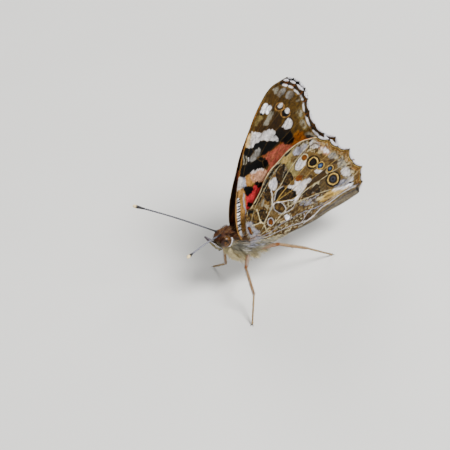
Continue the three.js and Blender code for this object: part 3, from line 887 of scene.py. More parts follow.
FOREWING_FRONT = at(
    -16,20, -22.5,34, -26.5,57, -27,81, -24.5,114, -19.5,145, -14,178, -5.5,209, 5.5,241, 16.5,266, 27.5,286,
    38.5,302, 50,312.5, 69,320.5,
)
FOREWING_TIPS = at(
    69,320.5, 83,316, 96,307.5, 111,291, 118,274, 121.5,249, 132.5,221, 151,199, 158,180, 144,160,
)
FOREWING_REAR = at(
    144,160, 90,112, 40,68, 7,35, -6,21.5, -16,20,
)
FOREWING_VEINS = (
    at(-15,28, -19,60, -17,100, -12,140, -4,180, 5,208, 14,244, 28,274),
    at(5,208, 22,237, 42,264, 58,290, 81,312),
    at(22,219, 50,253, 65,278, 93,303),
    at(5,208, 22,219, 54,251, 70,266, 90,279, 108,288),
    at(5,208, 13,189, 17,178, 40,210, 65,236, 84,251, 114,272),
    at(17,178, 27,171, 41,186, 64,204, 84,221, 101,234, 119,248),
    at(27,171, 32,156, 49,173, 68,190, 91,207, 109,216, 129,221),
    at(32,156, 23,134, 49,156, 68,170, 96,188, 118,196, 147,199),
    at(23,134, 12,106, 45,128, 85,154, 120,172, 154,181),
    at(-10,30, 0,70, 12,106),
    at(-8,27, 30,68, 80,113, 139,160),
)
HINDWING_FRONT = at(
    -4,17, -11.5,31, -15,51, -15.5,72, -12,86, -4,92, 4,104, 14,121, 22,141, 34.5,160, 48,171.5, 64.5,187,
    78,195.5, 97,203, 129,204,
)
HINDWING_TIPS = at(
    129,204, 155,193, 173.5,172.5, 201.5,159, 211,130, 237,108, 237,89, 242.5,71, 237,50,
)
HINDWING_REAR = at(
    237,50, 219,43.5, 195,36.5, 171,31.5, 156,26.5, 131,19.5, 102,15, 77,13, 45,11.5, 25,7, 9,5, 0,9.5, -4,17,
)
HINDWING_VEINS = (
    at(3,24, -4,55, 3,88, 18,117, 29,133, 43,154, 60,172, 79,191, 95,200),
    at(12,22, 22,46, 30,67, 39,82, 38,103, 55,123, 69,146, 87,168, 106,187, 126,200),
    at(39,82, 47,92, 58,106, 75,122, 93,138, 107,152, 127,171, 152,190),
    at(47,92, 64,100, 78,106, 90,114, 120,138, 138,154, 170,170),
    at(47,92, 71,88, 86,90, 95,98, 115,116, 137,128, 172,145, 198,156),
    at(71,88, 74,73, 86,79, 108,98, 129,107, 155,116, 181,125, 208,129.5),
    at(16,22, 29,35, 48,50, 74,73, 106,79, 146,81, 190,80, 210,88, 233,105),
    at(20,19, 38,29, 59,40, 81,45, 105,49, 145,50, 162,54, 187,64, 207,69, 237,70),
    at(26,16, 45,23, 76,27, 108,26, 131,27.5, 155,33, 190,46),
)


def border(tips: tuple, inset: float) -> tuple:
    """A line that follows the dips of the outer edge, moved in by an inset."""
    line = []
    for (ax, az), (bx, bz) in zip(tips, tips[1:]):
        length = math.hypot(bx - ax, bz - az)
        for t in (0.0, 0.25, 0.5, 0.75):
            dip = inset + SCALLOP_DEPTH * min(1, length / WIDE_CELL) * math.sin(math.pi * t)
            line.append((ax + (bx - ax) * t + (bz - az) / length * dip,
                         az + (bz - az) * t - (bx - ax) / length * dip))
    return tuple(line)


def lunules(tips: tuple, inset: float, half: float, tone: Tone, share: float = 0.3) -> list:
    """One short bar between each two vein ends, set in from the edge."""
    marks = []
    for (ax, az), (bx, bz) in zip(tips, tips[1:]):
        length = math.hypot(bx - ax, bz - az)
        dip = inset + SCALLOP_DEPTH * min(1, length / WIDE_CELL)
        middle = ((ax + bx) / 2 + (bz - az) / length * dip, (az + bz) / 2 - (bx - ax) / length * dip)
        angle = math.degrees(math.atan2(bz - az, bx - ax))
        marks.append(Spot(middle, (length * share, half), angle, ((1, tone),)))
    return marks


def pinstripes(veins: tuple, tone: Tone, strength: float) -> list:
    """A fine fold line down each cell, midway between two veins that run beside each other."""
    marks = []
    shares = np.linspace(0.45, 0.97, 12)
    for a, b in zip(veins, veins[1:]):
        lines = [smooth_path(vein, 0.3) for vein in (a, b)]
        picked = [line[np.round(shares * (len(line) - 1)).astype(int)] for line in lines]
        middle = (picked[0] + picked[1]) / 2
        if np.linalg.norm(picked[0][-1] - picked[1][-1]) < 4.5:
            marks.append(Streak(tone, tuple(map(tuple, middle)), 0.04, 0.05, strength))
    return marks


def edge_spots(tips: tuple, back: float, down: float, semi: tuple, tone: Tone) -> list:
    """One spot between each two vein ends, moved back and down from the edge."""
    return [
        Spot(((ax + bx) / 2 - back, (az + bz) / 2 - down), semi, math.degrees(math.atan2(bz - az, bx - ax)),
             ((1, tone),))
        for (ax, az), (bx, bz) in zip(tips, tips[1:])
    ]


def ladder() -> list:
    """The black rungs over the white base of the forewing's front edge."""
    marks = []
    for number in range(11):
        z = 4.2 + 0.62 * number + 0.07 * math.sin(number * 2.3)
        x = -2.05 + 0.09 * math.sin(number * 4.1) + (0.12 if number < 1 else 0)
        half = 0.15 if number % 3 else 0.19
        marks.append(Streak(T.BLACK, ((x - 0.2, z - 0.14), (x + 0.22, z + 0.06)), half, 0.05))
    return marks


def cell(outline: tuple) -> list:
    """A black-edged cell of the hindwing's base with a marbled brown middle."""
    middle = np.mean(outline, axis=0)
    shrunk = tuple(tuple(middle + (np.array(p) - middle) * 0.74) for p in outline)
    return [Patch(T.BLACK, outline, 0.07), Patch(T.UMBER, shrunk, 0.16, 0.8, 0.2),
            Mottle(T.OCHRE_BROWN, 0.26, 0.3, 0.75, shrunk), Mottle(T.BLACK, 0.2, 0.25, 0.7, shrunk)]


def piped_veins(veins: tuple, tones: tuple, halves: tuple) -> list:
    """Veins with a pale line on a darker one; the first of them is faint."""
    marks = []
    for vein, tone, half in zip(veins, tones, halves):
        marks.append(Streak(T.DARK_BROWN, vein, 0.12, 0.05, 0.4))
        marks.append(Streak(tone, vein, half, 0.05, 0.4 if vein is veins[0] else 0.85))
    return marks


# The forewing's outer face, base colour first
FOREWING_OUTER = (
    Patch(T.OLIVE_BROWN, at(-50,0, 200,0, 200,360, -50,360)),
    Mottle(T.UMBER, 0.5, 0.35, 0.35),
    Patch(T.DORSAL_ORANGE, at(5,40, 40,60, 150,155, 150,185, 110,190, 60,170, 20,110), 0.5, 0.85),
    Patch(T.SALMON, at(28,182, 43,188, 62,199, 75,195, 92,189, 95,176, 75,156, 52,136, 30,130, 34,149, 39,154,
        38,166, 30,177), 0.12),
    Mottle(T.OCHRE_BROWN, 0.22, 0.3, 0.55, at(30,180, 62,198, 92,188, 75,156, 40,140)),
    Patch(T.ORANGE_BROWN, at(27,180, 32,178, 39,184, 52,189, 66,197, 78,193, 89,188, 96,191, 84,196, 66,203,
        42,191), 0.25, 0.75),
    Patch(T.ORANGE, at(87,204, 93,211, 102,215, 110,206, 117,198, 126,186, 110,184, 96,189, 84,190), 0.35, 0.95,
        0.3),
    Patch(T.CARMINE, at(12,127, 19,123, 28,124, 44,140, 46,126, 32,110, 20,90, 10,70, 4,76, -4,82, -7,91,
        -8,102, -7,112, 2,112, 8,120), 0.12),
    Patch(T.STRAW, at(4,80, 10,73, 26,90, 46,120, 40,122, 22,98), 0.5, 0.4),
    Patch(T.TAN, at(-9,144, 0,150, 10,142, 9,129, 1,126, -6,129), 0.2),
    Patch(T.PINK_TAN, at(3,149, 9,154, 21,156, 27,155, 36,150, 34,138, 27,131, 15,131, 9,134), 0.15),
    Mottle(T.OCHRE, 0.3, 0.4, 0.55, at(-8,144, 8,150, 12,134, 2,126, -6,129)),
    Patch(T.MILK, at(3,152, 9,155.5, 21,157.5, 30,156, 29,152.5, 18,153, 8,149), 0.12, 0.7),
    Patch(T.LAVENDER, at(-11,151, -8,153, -6,140, -5,127, -10,126, -13,130, -14,142), 0.12),
    # Black bands and blots
    Patch(T.BLACK, at(-9.5,195, -6,209, 4,202, 22,210, 33,209, 40,207, 46,208, 60,205, 64,202, 49,190, 41,186,
        30,183, 21,183, 24,197, 11,194, 4,187, -3,188), 0.08),
    Patch(T.SOOT, at(-12,174, -9,193, 3,188, 10,173, 0,170), 0.2, 0.9),
    Patch(T.GREY, at(3,178, 15,196, 25,196, 21,184, 10,173), 0.12, 0.95, 0.3),
    Streak(T.WARM_GREY, at(-9,191, -8,181, -9,172), 0.09, 0.08, 0.8),
    Streak(T.WARM_GREY, at(-3.5,187, -3,179, -5,172), 0.1, 0.08, 0.8),
    Streak(T.MILK, at(0.5,183, 1,176), 0.09, 0.08, 0.8),
    Patch(T.BLACK, at(-17.5,147, -12,170, -1,170, 10,172.5, 21,180.5, 28,178, 39,167, 39,159, 35,155, 21,157.5,
        5,153.5, -4,147), 0.08),
    Patch(T.SOOT, at(50,216, 54,223, 66,231, 80,222, 85,218, 76,209, 60,204), 0.12, 0.95),
    Patch(T.BLACK, at(60,206, 74,216, 83,217, 90,206, 89,196, 83,192, 74,193.5, 67,200), 0.09),
    Patch(T.BLACK, at(-12.5,125, -3,128, 5,124, 10.5,117, 5,111, -1,108, -10,112, -13.5,120), 0.07),
    Patch(T.BLACK, at(12,129, 15,133, 29,129, 36,140, 42,152, 50,152, 48,142, 39,129, 29,121, 19,120), 0.07),
    Patch(T.BLACK, at(-4,89, -2,93, 5,92.5, 8.5,88, 5,83, -2,85), 0.06),
    # Pale bars
    Patch(T.MILK, at(-5,210, 2.5,229, 5,232, 17,229, 29,227, 40,231, 48,228, 54,220, 41,207.5, 30,211, 22,210,
        12,205, 3.5,201.5), 0.08, 1.0, 0.3),
    Patch(T.STRAW, at(-6,209, 3,231, 7.5,231, 5,216, 1.5,204), 0.2, 0.8),
    Patch(T.MILK, at(44,209, 51,214.5, 59.5,211, 60,205, 52,206), 0.08),
    Patch(T.DARK_BROWN, at(22,232, 33,236, 47,252, 52,263, 63,258, 67,247, 66,234, 55,222, 47,229.5, 40,232,
        29,228), 0.3, 0.85),
    Patch(T.UMBER, at(13,234, 16,249, 28,254, 40,256, 30,241, 26,230), 0.2, 0.9),
    Patch(T.OLIVE_CREAM, at(13,242, 22,261, 31,257, 24,250, 19,244), 0.25, 0.45, 0.6),
    Patch(T.WARM_GREY, at(30,240, 36,252, 46,266, 51,263, 47,254, 37,239), 0.15, 0.95, 0.3),
    Patch(T.WHITE, at(24,264, 33,280, 40,279, 36,272, 29.5,262.5), 0.09),
    Patch(T.WHITE, at(34,264, 41,276, 48,274, 44,268, 38.5,262), 0.09),
    Patch(T.BLACK, at(23,263, 26,266.5, 30.5,264, 27.5,260), 0.08),
    Patch(T.UMBER, at(34,285, 48,302, 62,288, 75,283, 70,279, 60,278, 55,268, 44,276, 40,280), 0.35, 0.6),
    Patch(T.OCHRE_BROWN, at(33,282, 41,292, 45,283, 37,279.5), 0.25, 0.4, 0.4),
    Patch(T.WARM_GREY, at(49,304, 57,310, 62,309, 60,302, 54,297), 0.15, 0.9, 0.6),
    Patch(T.GREY, at(57,295, 67,305, 76,301, 70,293, 63,288), 0.15, 0.9, 0.6),
    Patch(T.GREY, at(73,287, 82,297, 92,291, 85,282, 77,282), 0.15, 0.9, 0.6),
    Patch(T.WARM_GREY, at(94,274, 103,277, 104,274, 96,271), 0.12, 0.7, 0.3),
    Patch(T.OLIVE_BROWN, at(66,319, 96,305, 112,286, 106,284, 90,301, 68,312), 0.3, 0.7),
    Spot((6.25, 27.04), (0.92, 0.8), 177, ((1, T.TAN), (0.88, T.UMBER)), 0.05),
    Patch(T.BLACK, at(57,272, 59,267.5, 64,265.5, 69,268, 65,270), 0.08),
    Spot((6.42, 27.25), (0.44, 0.52), 117, ((1, T.MILK),)),
    Spot((7.37, 25.58), (1.0, 0.88), 145, ((1, T.TAN), (0.88, T.UMBER)), 0.05),
    Patch(T.BLACK, at(68,259, 68.5,252, 74,249, 80,251, 75,256, 73,262), 0.08),
    Spot((7.75, 25.9), (0.56, 0.46), 108, ((1, T.MILK),)),
    Patch(T.DARK_BROWN, at(79,247, 86,245, 90,234, 84,223, 75,220, 66,228, 72,241), 0.12),
    Patch(T.MILK, at(80,244, 84,243, 88,236, 87,230, 83,225, 77,223, 71,226, 68,230, 72,238), 0.08),
    Patch(T.OLIVE_BROWN, at(89,246, 90,226, 96,216, 108,218, 104,232, 96,250), 0.3, 0.8),
    Patch(T.OLIVE_CREAM, at(95,260, 106,259, 109,246, 106,238, 99,241, 96,249), 0.2, 0.5, 0.4),
    Patch(T.WARM_GREY, at(97,255, 103,258, 108,251, 106,243, 100,246), 0.15, 0.7, 0.6),
    Patch(T.OLIVE_CREAM, at(102,236, 113,234, 117,223, 115,214, 108,218, 103,228), 0.2, 0.5, 0.4),
    Patch(T.WARM_GREY, at(103,236, 109,235, 115,224, 112,218, 104,227), 0.15, 0.7, 0.6),
    Patch(T.WARM_GREY, at(114,208, 126,206, 133,198, 126,195, 115,200), 0.15, 0.85, 0.5),
    Mottle(T.OLIVE_BROWN, 0.35, 0.4, 0.7, at(96,262, 108,262, 116,234, 114,214, 98,242)),
    Patch(T.BLACK, at(114,204, 122,202, 134,188, 128,184, 118,193), 0.12, 0.9),
    Patch(T.OCHRE_BROWN, at(108,279, 115,267, 116,250, 122,230, 136,210, 130,208, 116,224, 111,246, 108,264),
        0.25, 0.7),
    *pinstripes(FOREWING_VEINS, T.DARK_BROWN, 0.45),
    Streak(T.OCHRE_BROWN, FOREWING_VEINS[0], 0.045, 0.05, 0.3),
    *(Streak(T.OCHRE_BROWN, vein, 0.045, 0.05, 0.42) for vein in FOREWING_VEINS[1:]),
    Streak(T.OCHRE, FOREWING_FRONT[2:11], 0.12, 0.08, 0.7),
    Streak(T.OCHRE_BROWN, FOREWING_FRONT[10:], 0.13, 0.1, 0.85),
    Streak(T.OCHRE_BROWN, border(FOREWING_TIPS[:-1], 1.1), 0.09, 0.08, 0.8),
    Streak(T.BLACK, border(FOREWING_TIPS[:-1], 0.5), 0.42, 0.1, 0.92),
    *lunules(FOREWING_TIPS[:-1], 0.68, 0.2, T.MILK, 0.34),
    Streak(T.OCHRE, border(FOREWING_TIPS, 0.24), 0.04, 0.04, 0.3),
    Streak(T.BLACK, border(FOREWING_TIPS, 0.06), 0.1, 0.05, 0.95),
    *(Streak(T.ORANGE_BROWN, ((x - 0.9, z - 0.45), (x - 0.6, z - 0.3), (x - 0.4, z - 0.2)), 0.07, 0.07,
        0.8) for x, z in FOREWING_TIPS[1:-1]),
    # Base of the front edge: tan border, white ladder with black rungs, tan bands
    Patch(T.TAN, at(-29,30, -29,124, -12,126, -5,80, -4,40, -10,20), 0.1),
    Mottle(T.OCHRE_BROWN, 0.25, 0.35, 0.5, at(-17,115, -11,110, -8,60, -9,30, -16,34)),
    Streak(T.SOOT, at(-22,126, -22.5,110, -22.5,100), 0.16, 0.1, 0.8),
    Streak(T.WHITE, at(-21,104, -21,80, -20.5,60, -19.5,46, -17,34, -13,27), 0.26, 0.07),
    Streak(T.LAVENDER, at(-9.5,113, -10.5,102, -9,90, -6.5,78, -7,62, -6,46), 0.12, 0.08),
    Streak(T.OCHRE, at(-12.5,54, -12,44, -10,34), 0.1, 0.07),
    Patch(T.MILK, at(-21.5,148, -13,148, -13.5,126, -23.5,125), 0.12, 0.9, 0.2),
    Streak(T.TAN, at(-23,142, -25,120, -26.6,90, -26,60, -23,42, -18,28), 0.14, 0.07),
    Mottle(T.WARM_GREY, 0.5, 0.5, 0.6, at(-16,40, -4,44, 6,34, -6,22, -16,24)),
    *ladder(),
)

# The forewing's inner face, which was the upper side
FOREWING_INNER = (
    Patch(T.DORSAL_ORANGE, at(-50,0, 200,0, 200,360, -50,360)),
    Mottle(T.DORSAL_ROSE, 0.7, 0.5, 0.5),
    Patch(T.SOOT, at(-8,206, 20,194, 50,206, 84,202, 120,214, 136,214, 160,240, 130,310, 70,340, 10,300,
        -20,220), 0.3),
    Patch(T.BLACK, at(-22,148, -16,166, 6,172, 22,180, 38,166, 34,156, 10,154), 0.2),
    Patch(T.BLACK, at(60,204, 86,212, 92,198, 82,190, 64,194), 0.15),
    Patch(T.BLACK, at(4,126, 14,124, 26,128, 24,114, 9,110), 0.15),
    Patch(T.MILK, at(-2,214, 6,230, 24,232, 48,226, 44,214, 20,216), 0.12),
    Spot((4.6, 27.6), (0.9, 0.45), 55, ((1, T.MILK),)),
    Spot((3.2, 27.3), (0.9, 0.4), 62, ((1, T.MILK),)),
    Spot((6.5, 27.2), (0.5, 0.5), 0, ((1, T.MILK),)),
    Spot((7.8, 25.8), (0.5, 0.5), 0, ((1, T.MILK),)),
    Spot((7.8, 23.4), (0.85, 0.85), 0, ((1, T.MILK),)),
    Patch(T.RED_BROWN, at(-32,10, -32,100, -24,140, -12,130, 2,100, 20,76, 50,90, 30,30, -5,10), 0.8),
    Patch(T.DARK_BROWN, at(-32,40, -26,150, -16,190, -10,186, -17,130, -19,60), 0.2, 0.9),
    Streak(T.SOOT, border(FOREWING_TIPS, 0.8), 1.1, 0.35),
    Patch(T.SOOT, at(116,206, 140,216, 170,190, 154,152, 134,156, 124,180), 0.3),
    Streak(T.BLACK, FOREWING_TIPS, 0.5, 0.2),
    *edge_spots(FOREWING_TIPS, 1.0, 0.4, (0.42, 0.2), T.STRAW),
    *(Streak(T.SOOT, vein, 0.07, 0.07, 0.7) for vein in FOREWING_VEINS[1:]),
    Streak(T.UMBER, FOREWING_FRONT, 0.2, 0.1, 0.9),
)

# The hindwing's outer face, base colour first
HINDWING_OUTER = (
    Patch(T.OCHRE_BROWN, at(-50,-20, 280,-20, 280,240, -50,240)),
    Mottle(T.UMBER, 0.42, 0.55, 0.85),
    Mottle(T.WARM_GREY, 0.3, 0.27, 0.75),
    Mottle(T.DARK_BROWN, 0.24, 0.22, 0.8),
    Mottle(T.OCHRE, 0.5, 0.2, 0.2),
    Mottle(T.CREAM, 0.3, 0.32, 0.5, at(-12,90, 50,88, 100,84, 130,64, 120,36, 80,14, 10,14)),
    Mottle(T.UMBER, 0.22, 0.34, 0.7, at(22,86, 90,82, 130,60, 120,36, 80,18, 30,24)),
    # Outer third
    Patch(T.OCHRE_BROWN, at(111,180, 134,178, 154,163, 176,143, 186,120, 194,94, 184,79, 155,86, 129,120,
        108,130, 94,132, 106,154), 0.3, 0.85),
    Mottle(T.UMBER, 0.5, 0.3, 0.45, at(111,180, 154,163, 186,120, 184,82, 129,126, 99,133)),
    Patch(T.OCHRE_BROWN, at(120,204, 131,202, 156,190, 174,170, 202,154, 210,130, 234,108, 234,80, 226,72,
        216,84, 216,106, 200,126, 188,147, 169,160, 150,177, 132,186), 0.2),
    Mottle(T.CREAM, 0.45, 0.42, 0.65, at(96,194, 131,196, 172,166, 198,146, 220,106, 208,84, 188,116, 156,159,
        110,180)),
    Patch(T.OLIVE_CREAM, at(48,169, 60,179, 79,193, 84,183, 75,168, 86,158, 92,144, 88,134, 79,138, 70,152,
        65,166, 54,169), 0.25, 0.95),
    Patch(T.STRAW, at(56,172, 72,184, 76,176, 68,166), 0.3, 0.45),
    Patch(T.DIM_OLIVE, at(79,173, 88,176, 94,164, 88,148, 82,158), 0.3, 0.8),
    Patch(T.LAVENDER, at(79,187, 98,195, 109,194, 106,185, 92,177, 83,178), 0.14, 0.95, 0.6),
    Mottle(T.GREY, 0.3, 0.4, 0.5, at(79,187, 98,195, 109,194, 104,184, 92,179)),
    Patch(T.MILK, at(112,193, 119,199, 131,195, 136,185, 129,181, 116,186), 0.14, 0.95, 0.65),
    Mottle(T.UMBER, 0.4, 0.35, 0.8, at(112,194, 135,192, 136,175, 114,178)),
    Patch(T.PINK_TAN, at(132,182, 140,185, 157,172, 159,162, 151,160, 139,172), 0.18, 0.7, 0.3),
    Patch(T.WHITE, at(136,180, 143,180, 154,170, 155,165, 150,165, 141,173), 0.12, 0.9, 0.6),
    Patch(T.GREY, at(153,160, 162,164, 171,155, 176,145, 170,141, 158,150), 0.14, 0.95, 0.6),
    Patch(T.GREY, at(175,136, 180,142, 190,140, 198,130, 195,120, 185,122), 0.14, 0.95, 0.6),
    Patch(T.MILK, at(187,116, 195,119, 206,112, 211,98, 203,96, 191,104), 0.12, 0.95, 0.5),
    Patch(T.MILK, at(203,93, 214,94, 221,84, 216,79, 207,84), 0.12, 0.95, 0.4),
    Streak(T.UMBER, border(HINDWING_TIPS, 1.15), 0.1, 0.12, 0.8),
    *lunules(HINDWING_TIPS, 0.9, 0.12, T.TAN, 0.26),
    Patch(T.LAVENDER, at(176,83, 193,93, 204,89, 210,82, 194,75, 177,76), 0.2, 0.8),
    Mottle(T.UMBER, 0.35, 0.35, 0.7, at(176,83, 196,96, 210,84, 196,73, 176,76)),
    Patch(T.WHITE, at(172,79, 196,76, 216,78, 220,74, 196,69, 174,73), 0.15, 0.9),
    Spot((21.3, 7.95), (0.5, 0.24), 170, ((1, T.SLATE), (0.6, T.BLACK)), 0.06),
    # Middle field
    Patch(T.UMBER, at(116,121, 132,126, 154,133, 162,123, 153,117, 138,110, 120,108), 0.15, 0.9),
    Patch(T.DARK_BROWN, at(139,109, 156,118, 158,96, 164,84, 148,83, 142,96), 0.3, 0.6),
    Patch(T.DIM_OLIVE, at(143,100, 150,106, 155,90, 149,83, 142,86), 0.3, 0.6),
    Patch(T.UMBER, at(157,149, 174,145, 177,133, 166,136, 159,138), 0.2, 0.85),
    Patch(T.MILK, at(69,116, 84,124, 100,120, 113,122.5, 119,118, 109,106, 101,96, 95,87, 90,77, 85,76, 87,86,
        91,94, 84,106), 0.1),
    Patch(T.MILK, at(32,134, 42,142, 49,140, 49,128, 45,117, 38,118), 0.14),
    Patch(T.LAVENDER, at(34,130, 42,136, 45,127, 41,120), 0.2, 0.7),
    Patch(T.CREAM, at(124,106, 136,108, 139,102, 126,98), 0.15, 0.6),
    *cell(at(23,115, 30,123, 36,119, 35.5,108, 34,97, 28,97, 23,107)),
    *cell(at(46,153, 51,161, 57,163, 63,166, 63.5,154, 60,144, 52,126, 47,140)),
    *cell(at(67,149, 76,145, 82.5,133, 76,122, 63,122, 59,134)),
    *cell(at(45.5,95, 47,111, 56,118, 71,114, 82,107, 89,94, 83,87, 71,89, 61,89, 51,91)),
    *cell(at(12,76, 14,82, 19,83, 26,76, 28,67, 26,60, 21,54, 16,63)),
    *cell(at(104,93, 115,99, 123,91, 121,81, 112,80)),
    *cell(at(123,96, 133,104, 140,94, 142,83, 132,84)),
    Spot((5.5, 7.65), (1.62, 0.86), 132, ((1.12, T.MILK), (0.98, T.BLACK), (0.8, T.UMBER)), 0.06),
    Mottle(T.OCHRE_BROWN, 0.3, 0.45, 0.85, at(47,86, 54,86, 63,72, 62,67, 52,70, 46,80)),
    Patch(T.ORANGE_BROWN, at(86,129, 92,136, 101,128, 96,121, 88,123), 0.1),
    Patch(T.OCHRE_BROWN, at(75,128, 83,127, 84,117, 76,117), 0.12),
    Patch(T.DARK_BROWN, at(109,113, 117,111, 118,102, 110,104), 0.1, 0.85),
    Patch(T.OCHRE_BROWN, at(85,68, 111,60, 109,49, 89,53), 0.2, 0.8),
    Mottle(T.UMBER, 0.35, 0.5, 0.8, at(84,69, 114,62, 112,49, 88,52)),
    Patch(T.UMBER, at(120,43, 112,33, 123,24, 133,32), 0.12, 0.9),
    Patch(T.WHITE, at(67,56, 77,52, 76,43, 69,47), 0.12, 0.9),
    Patch(T.CREAM, at(140,71, 159,69, 168,68, 159,62, 135,66), 0.2, 0.85),
    Patch(T.STRAW, at(160,75, 182,75, 198,68, 168,61, 144,59), 0.25, 0.85, 0.3),
    Patch(T.OCHRE_BROWN, at(156,69, 176,67, 170,63, 152,64), 0.15, 0.8),
    Mottle(T.SLATE, 0.4, 0.35, 0.6, at(108,76, 138,72, 134,56, 108,60)),
    Mottle(T.LAVENDER, 0.5, 0.45, 0.7, at(100,75, 142,76, 140,66, 102,64)),
    # Base
    Patch(T.OCHRE_BROWN, at(-9,83, 6,83, 14,65, 13,57, 2,54, -9,64), 0.12),
    Mottle(T.DARK_BROWN, 0.32, 0.5, 0.9, at(-9,83, 6,83, 14,65, 13,57, 2,54, -9,64)),
    Patch(T.BLACK, at(-10,87, -5,88, -5,81, -10,79), 0.07),
    Patch(T.BLACK, at(-4,87, 1,86, 0,80, -4,80), 0.07),
    Patch(T.LAVENDER, at(-13,62, -3,62, 3,51, 9,41, 18,35, 22,24, 9,14, 2,20, -6,34, -12,50), 0.25, 0.9, 0.3),
    Patch(T.OCHRE_BROWN, at(3,50, 9,53.5, 19,53, 23,50, 25,40, 29,28, 23,21, 19,25, 17,36, 10,41, 5,46), 0.18,
        0.9),
    Mottle(T.UMBER, 0.3, 0.4, 0.7, at(3,50, 22,52, 29,28, 21,22, 10,41)),
    Streak(T.DARK_BROWN, at(-8,51, -5,44, -0.5,36), 0.34, 0.08),
    Streak(T.ORANGE_BROWN, at(-7,50, -4.5,43, -1,37), 0.2, 0.08),
    Spot((3.7, 5.1), (0.75, 0.5), 110, ((1.25, T.MILK), (1, T.DARK_BROWN), (0.75, T.ORANGE_BROWN)), 0.07),
    Patch(T.OCHRE_BROWN, at(33,68, 38,77, 48,70, 52,62, 48,57, 44,60, 38,62), 0.15, 0.8),
    Patch(T.OCHRE_BROWN, at(2,120, 14,120, 22,106, 16,88, 4,88, -6,90), 0.2, 0.6),
    Patch(T.WARM_GREY, at(16,94, 22,104, 22,92, 19,87), 0.12, 0.7),
    # Front edge: black dashes on a tan rim
    Streak(T.CREAM, HINDWING_FRONT[5:11], 0.07, 0.07, 0.8),
    Streak(T.CREAM, HINDWING_FRONT[9:], 0.06, 0.06, 0.85),
    *(Streak(T.BLACK, (a, ((a[0] + b[0]) / 2, (a[1] + b[1]) / 2), b), 0.19, 0.07) for a, b in (at(4,97, 10,106),
        at(12.5,111, 19,122), at(21,127, 29,140), at(32,147, 40,157), at(12,100, 16,108), at(24,120, 29,129),
        at(64,181, 75,189), at(46,162, 53,167))),
    Spot((1.15, 10.35), (0.3, 0.16), 65, ((1, T.OCHRE_BROWN),), 0.06),
    # White net of the base and cream veins
    Streak(T.MILK, at(42,140, 37,124, 39,102, 38.5,85, 30,66, 23,52), 0.085, 0.07),
    Streak(T.MILK, at(61,120, 48,113, 43.5,96), 0.075, 0.06, 0.9),
    Streak(T.WHITE, at(39,86, 46,90, 56,88, 70,87.5, 83,85.5, 92,91), 0.08, 0.05),
    Streak(T.MILK, at(60,63, 73,63, 85,69, 87,77), 0.08, 0.06, 0.9),
    Streak(T.CREAM, at(8,86, 11,75, 15,60, 19,54, 23,51), 0.075, 0.05),
    Streak(T.CREAM, at(-2,54, 9,54.5, 17,56.5), 0.07, 0.05),
    Streak(T.CREAM, at(38,81, 30,66, 23,52, 26,43, 29,35), 0.07, 0.05),
    Streak(T.MILK, at(113,36, 120,44, 128,49), 0.08, 0.06, 0.8),
    Streak(T.MILK, at(100,22, 113,34, 110,46), 0.08, 0.06, 0.7),
    *pinstripes(HINDWING_VEINS, T.DARK_BROWN, 0.55),
    *piped_veins(HINDWING_VEINS, (T.CREAM, T.CREAM, T.STRAW, T.STRAW, T.STRAW, T.CREAM, T.CREAM, T.LAVENDER,
        T.MILK), (0.05, 0.05, 0.04, 0.04, 0.04, 0.05, 0.06, 0.08, 0.07)),
    # Row of eyespots
    Spot((9.79, 15.95), (1.7, 0.98), 52, ((1.1, T.UMBER), (1, T.MILK))),
    Spot((10.37, 16.76), (0.68, 0.6), 130, ((1.2, T.CREAM), (1, T.UMBER), (0.75, T.ORANGE_BROWN))),
    Spot((12.18, 15.4), (1.42, 1.36), 121, ((1.1, T.OCHRE_BROWN), (1, T.BLACK), (0.76, T.STRAW),
        (0.63, T.BLACK), (0.3, T.DARK_BROWN), (0.16, T.BLACK)), 0.05),
    Patch(T.MILK, at(126,136, 134,136, 142,130, 137,127, 129,129), 0.1),
    Spot((13.8, 14.26), (0.92, 0.84), 129, ((1.1, T.UMBER), (0.96, T.STRAW), (0.8, T.BLACK), (0.52, T.BLUE),
        (0.2, T.PALE_BLUE)), 0.05),
    Patch(T.CREAM, at(151,129, 155,134, 159,122, 155,119), 0.15, 0.8),
    Spot((16.04, 12.87), (0.88, 0.78), 131, ((1.1, T.DARK_BROWN), (0.96, T.STRAW), (0.8, T.BLACK),
        (0.48, T.BLUE), (0.22, T.PALE_BLUE)), 0.05),
    Spot((17.05, 10.2), (2.08, 1.5), 131, ((1, T.BLACK), (0.77, T.STRAW), (0.64, T.OCHRE_BROWN),
        (0.55, T.BLACK), (0.36, T.SLATE), (0.16, T.BLACK)), 0.05),
    # Border lines, and the fold by the abdomen: its grey strip is partly painted shade, with a painted
    # highlight along its crease
    Streak(T.UMBER, border(HINDWING_TIPS, 0.78), 0.1, 0.1, 0.5),
    Streak(T.OCHRE, border(HINDWING_TIPS, 0.6), 0.07, 0.07, 0.7),
    Streak(T.DARK_BROWN, border(HINDWING_TIPS, 0.42), 0.09, 0.05, 0.9),
    Streak(T.STRAW, border(HINDWING_TIPS, 0.26), 0.05, 0.05, 0.8),
    Streak(T.BLACK, border(HINDWING_TIPS, 0.08), 0.12, 0.05, 0.95),
    # Painted shade: the fold's strip in the darkened grey, streaked
    Patch(T.FOLD_GREY, at(234,65, 221,63, 207,61, 193,57, 170,46, 151,40, 136,29, 110,19, 90,10, 245,30), 0.15,
        1.0, 0.25),
    Streak(T.SLATE, at(234,59, 204,53, 174,41, 144,29), 0.18, 0.2, 0.7),
    Streak(T.OCHRE_BROWN, at(224,62, 193,55, 170,44, 144,34, 114,19), 0.1, 0.1, 0.8),
    # Painted highlight: a pale line and a straw line along the fold's crease
    Streak(T.MILK, at(226,67.5, 207,64, 193,60.5, 170,50, 151,44, 136,33, 112,22), 0.12, 0.07),
    Streak(T.STRAW, at(210,72, 193,66, 174,57, 156,50), 0.16, 0.12, 0.7),
    Streak(T.SOOT, at(235,69, 230,62, 236,52), 0.2, 0.15, 0.8),
)

